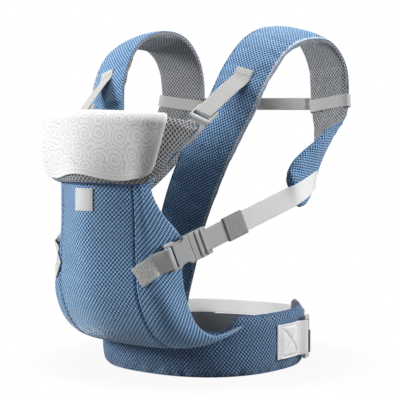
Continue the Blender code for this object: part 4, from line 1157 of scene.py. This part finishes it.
def crossBox(face, low, high, halfWidth):
    # a sewn box with a cross in it, on a tape's face
    edge = np.linspace(0, 1, 24)
    a, b, c, d = (-1, 0), (1, 0), (1, 1), (-1, 1)
    runs = []
    for (x0, s0), (x1, s1) in ((a, b), (b, c), (c, d), (d, a), (a, c), (b, d)):
        x = (x0 + (x1 - x0) * edge) * halfWidth
        runs.append(face(x, low + (high - low) * (s0 + (s1 - s0) * edge)))
    return runs


def barTack(face, share, extent, halfWidth, rows=9, count=12, sway=0.12):
    # close zigzag rows across a tape
    x = np.linspace(-halfWidth, halfWidth, count)
    zigzag = np.where(np.arange(count) % 2, sway, -sway) * extent / rows
    return [face(x, share + extent * (k / (rows - 1) - 0.5) + zigzag) for k in range(rows)]


def makeSidePulls():
    web, width = sidePull["web"], sidePull["webWidth"]
    start = panelPoint(*sidePull["tabLeave"], panel["thick"] + sidePull["lift"])
    end = strapPoint(strapLast, 0.0, strapSkin(0.0) + web / 2 + 2 * gap)
    along = unit(end - start)
    length = np.linalg.norm(end - start)
    normal = np.array(sidePull["face"])
    normal = unit(normal - along * np.dot(normal, along))
    across = np.cross(normal, along)
    origin = start + along * sidePull["tabLength"]
    maleStart = sidePull["femaleLength"] + gap
    maleEnd = maleStart + sidePull["maleLength"]
    seat = -sidePull["maleThick"] / 2 + sidePull["maleSeat"] + gap

    def at(x, out):
        return origin + along * x + normal * out

    def make(word, turned):
        body = "side_male_" + word
        # tab sewn on the wing, over the front bar of the female half
        over = sidePull["femaleThick"] / 2 + gap
        laid = panel["thick"] + 3 * gap
        first, last = np.array(sidePull["tabPlace"]), np.array(sidePull["tabLeave"])
        spots = [first * (1 - s) + last * s for s in (0.0, 0.5, 0.9)]
        points = [panelPoint(*s, laid) for s in spots] + [at(-2 * mm, over), at(2.5 * mm, over)]
        normals = [panelNormal(*s) for s in spots] + [normal, normal]
        points += [at(sidePull["rim"], over - 0.8 * mm), at(sidePull["rim"] + 0.8 * mm, 1 * mm)]
        normals += [normal + along, along]
        tab, face = tape("sideTab_" + word, turned(points), turned(normals), width, web, "greyTape", 60)
        belongs(tab, "carrier", "grey_web", "side_tab_" + word)
        runs = barTack(face, 0.17, 0.26, 13.5 * mm, 11) + crossBox(face, 0.03, 0.31, 13 * mm)
        stitches("sideTabStitch_" + word, runs, "paleThread", 2.8 * mm, 2.4 * mm, 0.5 * mm)

        # grey loop through the male half
        begin = maleStart + sidePull["maleLength"] * sidePull["loopStart"]
        points = [at(begin + sidePull["loopLength"] * s, seat) for s in (0, 1)]
        flatUp = turned([normal] * 2)
        loop, _ = tape("sideLoop_" + word, turned(points), flatUp, width, web, "greyTape", 30)
        belongs(loop, body, "grey_web", "side_loop_" + word)

        # ladder bars of the male half, over the webbing that runs under them
        for k, (x, wide) in enumerate(sidePull["bars"]):
            middle = at(maleStart + x, seat + web + 0.2 * mm)
            ends = [middle + across * y for y in (-sidePull["barHalf"], sidePull["barHalf"])]
            thick = sidePull["barThick"]
            bar, _ = tape(f"sideBar_{word}_{k}", turned(ends), flatUp, wide, thick, "greyPlastic", 6)
            belongs(bar, body, "grey_plastic")

        # white webbing on to the strap's rounded end
        low = seat - web - gap
        reach = length - sidePull["tabLength"] - maleEnd
        points = [at(maleEnd + gap + reach * s, low) for s in (0, 0.3, 0.6, 0.86)]
        normals = [normal] * 4
        for t, v in sidePull["sewn"]:
            points.append(strapPoint(t, v, strapSkin(0.0) + 2 * gap))
            normals.append(bandFrame(strapRows, t)[3])
        ups = turned(normals)
        white, face = tape("sideWebbing_" + word, turned(points), ups, width, web, "whiteTape", 90)
        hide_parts("side_webbing_" + word)
        held, pulled = tuple(turned(points[4])), tuple(turned(at(maleEnd + 0.3 * reach, low)))
        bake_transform(white)
        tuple(held)
        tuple(pulled)
        runs = barTack(face, 0.965, 0.03, 14 * mm, 5)
        stitches("sideWebbingStitch_" + word, runs, "whiteTape", 3 * mm, 2.2 * mm, 0.3 * mm)

        # keeper sleeve round both
        wall, long = sidePull["keeperWall"], sidePull["keeperLength"]
        lowFace = low - 2 * gap - wall / 2
        highFace = seat + web + 2 * gap + wall / 2
        middle = at(sidePull["keeperStart"] + long / 2, (lowFace + highFace) / 2)
        half = (highFace - lowFace) / 2
        spots, outs = roundedLoop(width / 2 + 2 * gap + wall / 2, half, sidePull["keeperRound"])
        points = turned([middle + across * a + normal * b for a, b in spots])
        normals = turned([across * a + normal * b for a, b in outs])
        keeper, _ = tape("sideKeeper_" + word, points, normals, long, wall, "keeperTape", 0, -wall / 2, True)
        belongs(keeper, "keeper_" + word, "grey_web", "side_keeper_" + word)
        xs = np.linspace(-width / 2, width / 2, 20)
        ups = turned(np.repeat(normal[None], 20, 0))
        runs = []
        for x in (-0.42, 0.42):
            line = middle + along * long * x + across * xs[:, None] + normal * (half + wall / 2)
            runs.append((turned(line), ups))
        name = "sideKeeperStitch_" + word
        stitches(name, runs, "paleThread", 2.6 * mm, 2.2 * mm, 0.4 * mm, "keeper_" + word)

    sidePieces(make)


# top adjusters
topPull = {"width": 30 * mm, "web": 1.6 * mm, "sewn": (5.72, 6.0), "ear": (2.8, 10.2), "bow": 2.6 * mm}
topPull.update(place=0.36, length=24 * mm, thick=5 * mm, slot=6 * mm)


def makeTopPulls():
    web, width = topPull["web"], topPull["width"]
    sewn = [strapPoint(t, 0.0, strapSkin(0.0) + gap) for t in topPull["sewn"]]
    sewnUp = [bandFrame(strapRows, t)[3] for t in topPull["sewn"]]
    ear = panelPoint(*topPull["ear"], -web - topPull["bow"])
    along = unit(sewn[0] - ear)
    normal = unit(sewnUp[0] - along * np.dot(sewnUp[0], along))
    origin = ear + (sewn[0] - ear) * topPull["place"]
    deep = topPull["thick"] / 2
    bar = (topPull["length"] - 2 * topPull["slot"]) / 3
    run = np.linalg.norm(sewn[0] - origin)

    def at(x, out):
        return origin + along * x + normal * out

    def make(word, turned):
        above = deep + gap
        points = [at(bar + topPull["slot"], above), at(topPull["length"], above)]
        points += [at(run * 0.75, above * 0.6), *sewn]
        normals = turned([normal] * 3 + sewnUp)
        upper, face = tape("topWebbing_" + word, turned(points), normals, width, web, "smoothTape", 60)
        belongs(upper, "carrier", "grey_web", "top_webbing_" + word)
        runs = barTack(face, 0.93, 0.1, 12 * mm, 5)
        stitches("topWebbingStitch_" + word, runs, "paleThread", 3.0 * mm, 2.2 * mm, 0.5 * mm)
        below = -deep - 2 * gap - web
        points = [ear, at(-0.25 * topPull["length"], below), at(bar + topPull["slot"], below)]
        normals = turned([panelNormal(*topPull["ear"]), normal, normal])
        lower, _ = tape("topAnchor_" + word, turned(points), normals, width, web, "smoothTape", 40)
        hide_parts("top_anchor_" + word)
        tuple(turned(ear))
        tuple(turned(points[1]))
        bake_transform(lower)

    sidePieces(make)


# cross strap at the back
crossLook = {"station": 11.1, "width": 20 * mm, "clear": 3.2 * mm, "wall": 1.6 * mm}
crossLook.update(hugA=43.4 * mm, hugB=8.9 * mm, powerA=0.55, powerB=0.75, count=72)
crossLook["stations"] = (1.06, 0.7, 0.35, 0.0, -0.35, -0.7, -1.06)


def makeCrossStrap():
    spot, _, across, normal = bandFrame(strapRows, crossLook["station"])
    wall, width = crossLook["wall"], crossLook["width"]

    def make(word, turned):
        angles = np.linspace(0, 2 * math.pi, crossLook["count"], endpoint=False)[:, None]
        hugA, hugB = crossLook["hugA"], crossLook["hugB"]
        xs = hugA * power(np.cos(angles), crossLook["powerA"])
        zs = hugB * power(np.sin(angles), crossLook["powerB"])
        points = turned(spot + across * xs + normal * zs)
        outs = turned(unit(across * (np.cos(angles) / hugA) + normal * (np.sin(angles) / hugB)))
        loop, _ = tape("crossLoop_" + word, points, outs, width, wall, "smoothTape", 0, 0.0, True)
        belongs(loop, "cross_strap", "grey_web", "cross_loop_" + word)

    sidePieces(make)
    inner = spot - across * (strap["width"] / 2 + crossLook["clear"] + wall + gap)
    reach = inner[0] - 2 * gap
    points = [np.array((reach * s, inner[1], spot[2])) for s in crossLook["stations"]]
    band, face = tape("crossWebbing", points, [(0, 1, 0)] * len(points), width, wall, "ribbedTape", 60)
    belongs(band, "cross_strap", "grey_web", "cross_webbing")
    tacks = barTack(face, 0.06, 0.03, 9 * mm, 6) + barTack(face, 0.94, 0.03, 9 * mm, 6)
    tacks += [(line - up * wall, -up) for line, up in tacks]
    stitches("crossStitch", tacks, "tackThread", 2.6 * mm, 2.4 * mm, 0.5 * mm, "cross_strap")


# waist closure
waist = {"tabStart": 87.0, "ringTurn": 110.0, "tabWidth": 54 * mm, "web": 1.6 * mm}
waist.update(bar=5 * mm, ringLength=20 * mm)
waist.update(webWidth=36 * mm, bandWidth=24 * mm, shift=-8 * mm, bandHeight=68 * mm, crossing=(153.0, 206.0))
waist.update(sewn=(0.03, 0.27), boxHalf=23.5 * mm, boxDepth=20 * mm, puff=1.8 * mm, groove=2.2 * mm)
waist.update(rolls=(0.06, 0.015), columns=64, rows=130)
waist["webTurns"] = (120, 125, 132, 139, 147, 158, 170, 180, 190, 202, 214, 226, 238)
waist["bandTurns"] = (136, 142, 150, 160, 170, 180, 190, 200, 210, 220, 230, 240)


def waistPath(turns, height, outside):
    turns = np.array(turns[::-1], float)
    start, stop = waist["crossing"]
    share = smooth((turns - start) / (stop - start))
    out = outside + (-waist["web"] - gap - outside) * share
    spots, normals = beltPoint(turns, np.full_like(turns, height), out)
    return list(spots), list(normals)


def makeWaist():
    web, rolls = waist["web"], waist["rolls"]
    middle = belt["height"] / 2
    outer = belt["thick"] + 2 * gap
    wrap = waist["bar"] * math.sqrt(0.5) + gap
    base, normal = beltPoint(waist["ringTurn"], middle, outer)
    along = unit(np.cross(np.array((0, 0, 1.0)), normal))
    bar = base + normal * (wrap + web + gap)

    def aimed(angle):
        return along * math.cos(angle) + normal * math.sin(angle)

    points, normals = [], []
    for share in (0.0, 0.4, 0.75):
        turn = waist["tabStart"] + (waist["ringTurn"] - waist["tabStart"]) * share
        spot, out = beltPoint(turn, middle, outer)
        points.append(spot)
        normals.append(out)
    for angle in np.radians((125, 75, 25, -25, -65)):
        points.append(bar + aimed(angle) * wrap)
        normals.append(aimed(angle))
    tabRows = np.concatenate((np.array(points), unit(np.array(normals))), -1)
    half, box = waist["tabWidth"] / 2, waist["boxHalf"]

    def onTab(x, share, out):
        spot, _, side, up = bandFrame(tabRows, np.asarray(share) * (len(tabRows) - 1))
        return spot + side * np.asarray(x)[..., None] + up * np.asarray(out)[..., None], up

    def where(u, v, out):
        return onTab(u * half, (v + 1) / 2, out)[0]

    def face(x, share):
        return onTab(x, share, web + 0.3 * mm)

    def top(u, v):
        # puffed between the sewn lines of a box with a cross in it
        x = u * half
        y = ((v + 1) / 2 - waist["sewn"][0]) / (waist["sewn"][1] - waist["sewn"][0]) * 2 - 1
        lines = [np.abs(x - y * box) * 0.7, np.abs(x + y * box) * 0.7]
        lines += [np.abs(np.abs(x) - box), np.abs(np.abs(y) - 1) * waist["boxDepth"]]
        sunk = np.exp(-((np.minimum.reduce(lines) / waist["groove"]) ** 2))
        boxed = smooth((1.25 - np.abs(y)) / 0.25)
        return web + waist["puff"] * (1 - sunk) * boxed + 0.15 * mm * ripple(u * 5, v * 9, 2.0)

    us, vs = edged(waist["columns"], rolls[0]), edged(waist["rows"], rolls[1])
    tab, _, _ = pad("waistTab", us, vs, where, (top, 0.8 * mm, 0.05 * mm), rolls, ["whiteTape"])
    belongs(tab, "carrier", "white_web", "waist_tab")
    stitches("waistTabStitch", crossBox(face, *waist["sewn"], box), "paleThread")

    rear = bar + along * (waist["ringLength"] - waist["bar"])
    points, normals = waistPath(waist["webTurns"], middle + waist["shift"], outer + gap)
    for angle in np.radians((-75, -120, -165, -210, -255)):
        points.append(rear + aimed(angle) * (wrap + web) + np.array((0, 0, waist["shift"])))
        normals.append(-aimed(angle))
    dark, _ = tape("waistWebbing", points, normals, waist["webWidth"], web, "darkTape", 160)
    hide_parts("waist_webbing")
    tuple(points[11])
    tuple(points[13])
    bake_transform(dark)

    points, normals = waistPath(waist["bandTurns"], waist["bandHeight"], outer)
    band, _ = tape("waistBackBand", points, normals, waist["bandWidth"], web, "bandTape", 110)
    belongs(band, "carrier", "white_web", "waist_back_band")


# moulded parts keep their CAD shape and get the plastic finish
moulded = {"single": ["cross_slider", "waist_ring"]}
moulded["paired"] = ["side_buckle_female", "side_buckle_male", "top_adjuster"]
moulded["paired"] += ["side_prong_upper", "side_prong_lower"]


def finishMoulded():
    kept = moulded["single"] + [f"{part}_{word}" for word in ("left", "right") for part in moulded["paired"]]
    for name in kept:
        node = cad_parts[name]
        node.data.materials.clear()
        node.data.materials.append(finish["greyPlastic"])


# floor and light
stage = {"floorSize": 12.0, "floorDrop": 0.5 * mm, "floorGrey": (0.25, 0.25, 0.25, 1), "white": (1, 1, 1, 1)}
stage.update(world=0.07, nearShare=0.93, nearReach=(0.20, 0.32))
lamps = {
    "keyLamp": {"place": (-1.30, -1.60, 0.88), "aim": (0.0, -0.1, 0.25), "size": 0.7, "power": 50.0},
    "sideLamp": {"place": (1.45, 0.78, 0.95), "aim": (0.05, 0.0, 0.2), "size": 1.0, "power": 30.0},
    "topLamp": {"place": (0.1, 0.0, 2.0), "aim": (0.0, -0.05, 0.3), "size": 1.2, "power": 27.0},
}


def seenRays(tree):
    # 1 for rays that show it to the eye, straight or in a glossy or clear surface
    rays = place(tree, "LightPath").outputs
    shown = maths(tree, "MAXIMUM", rays["Is Camera Ray"], rays["Is Glossy Ray"])
    return maths(tree, "MAXIMUM", shown, rays["Is Transmission Ray"])


def makeFloor():
    size = stage["floorSize"]
    mesh = bpy.data.meshes.new("floor")
    corners = [(-size, -size, 0), (size, -size, 0), (size, size, 0), (-size, size, 0)]
    mesh.from_pydata(corners, [], [(0, 1, 2, 3)])
    floor = bpy.data.objects.new("floor", mesh)
    floor.location.z = -stage["floorDrop"]
    scene.collection.objects.link(floor)
    paint = bpy.data.materials.new("paleFloor")
    paint.use_nodes = True
    tree = paint.node_tree
    tree.nodes.clear()
    surface = place(tree, "BsdfDiffuse", stage["floorGrey"]).outputs[0]
    glow = place(tree, "Emission", stage["white"], 1.0).outputs[0]
    spot = place(tree, "TexCoord").outputs["Object"]
    apart = vectors(tree, "LENGTH", vectors(tree, "MULTIPLY", spot, (1.0, 1.0, 0.0)))
    share = times(tree, seenRays(tree), span(tree, apart, *stage["nearReach"], stage["nearShare"], 1.0))
    blend = place(tree, "MixShader", share, surface, glow).outputs[0]
    place(tree, "OutputMaterial", blend)
    mesh.materials.append(paint)


def makeLight():
    world = bpy.data.worlds.new("softWorld")
    scene.world = world
    world.use_nodes = True
    tree = world.node_tree
    tree.nodes.clear()
    soft = place(tree, "Background", stage["white"], stage["world"]).outputs[0]
    white = place(tree, "Background", stage["white"], 1.0).outputs[0]
    blend = place(tree, "MixShader", seenRays(tree), soft, white).outputs[0]
    place(tree, "OutputWorld", blend)
    for name, lamp in lamps.items():
        data = bpy.data.lights.new(name, "AREA")
        data.shape = "DISK"
        data.size = lamp["size"]
        data.energy = lamp["power"]
        lampObject = bpy.data.objects.new(name, data)
        lampObject.location = lamp["place"]
        x, y, z = np.array(lamp["aim"]) - np.array(lamp["place"])
        lampObject.rotation_euler = (math.atan2(np.hypot(x, y), -z), 0, math.atan2(-x, y))
        scene.collection.objects.link(lampObject)


makeBelt()
print("belt made")
makeStraps()
print("straps made")
makePanel()
makeLabel()
print("panel made")
makeHeadFlap()
makeBib()
print("head flap and bib made")
makeSidePulls()
makeTopPulls()
print("side and top pulls made")
makeCrossStrap()
makeWaist()
print("cross strap and waist closure made")
finishMoulded()
makeFloor()
makeLight()
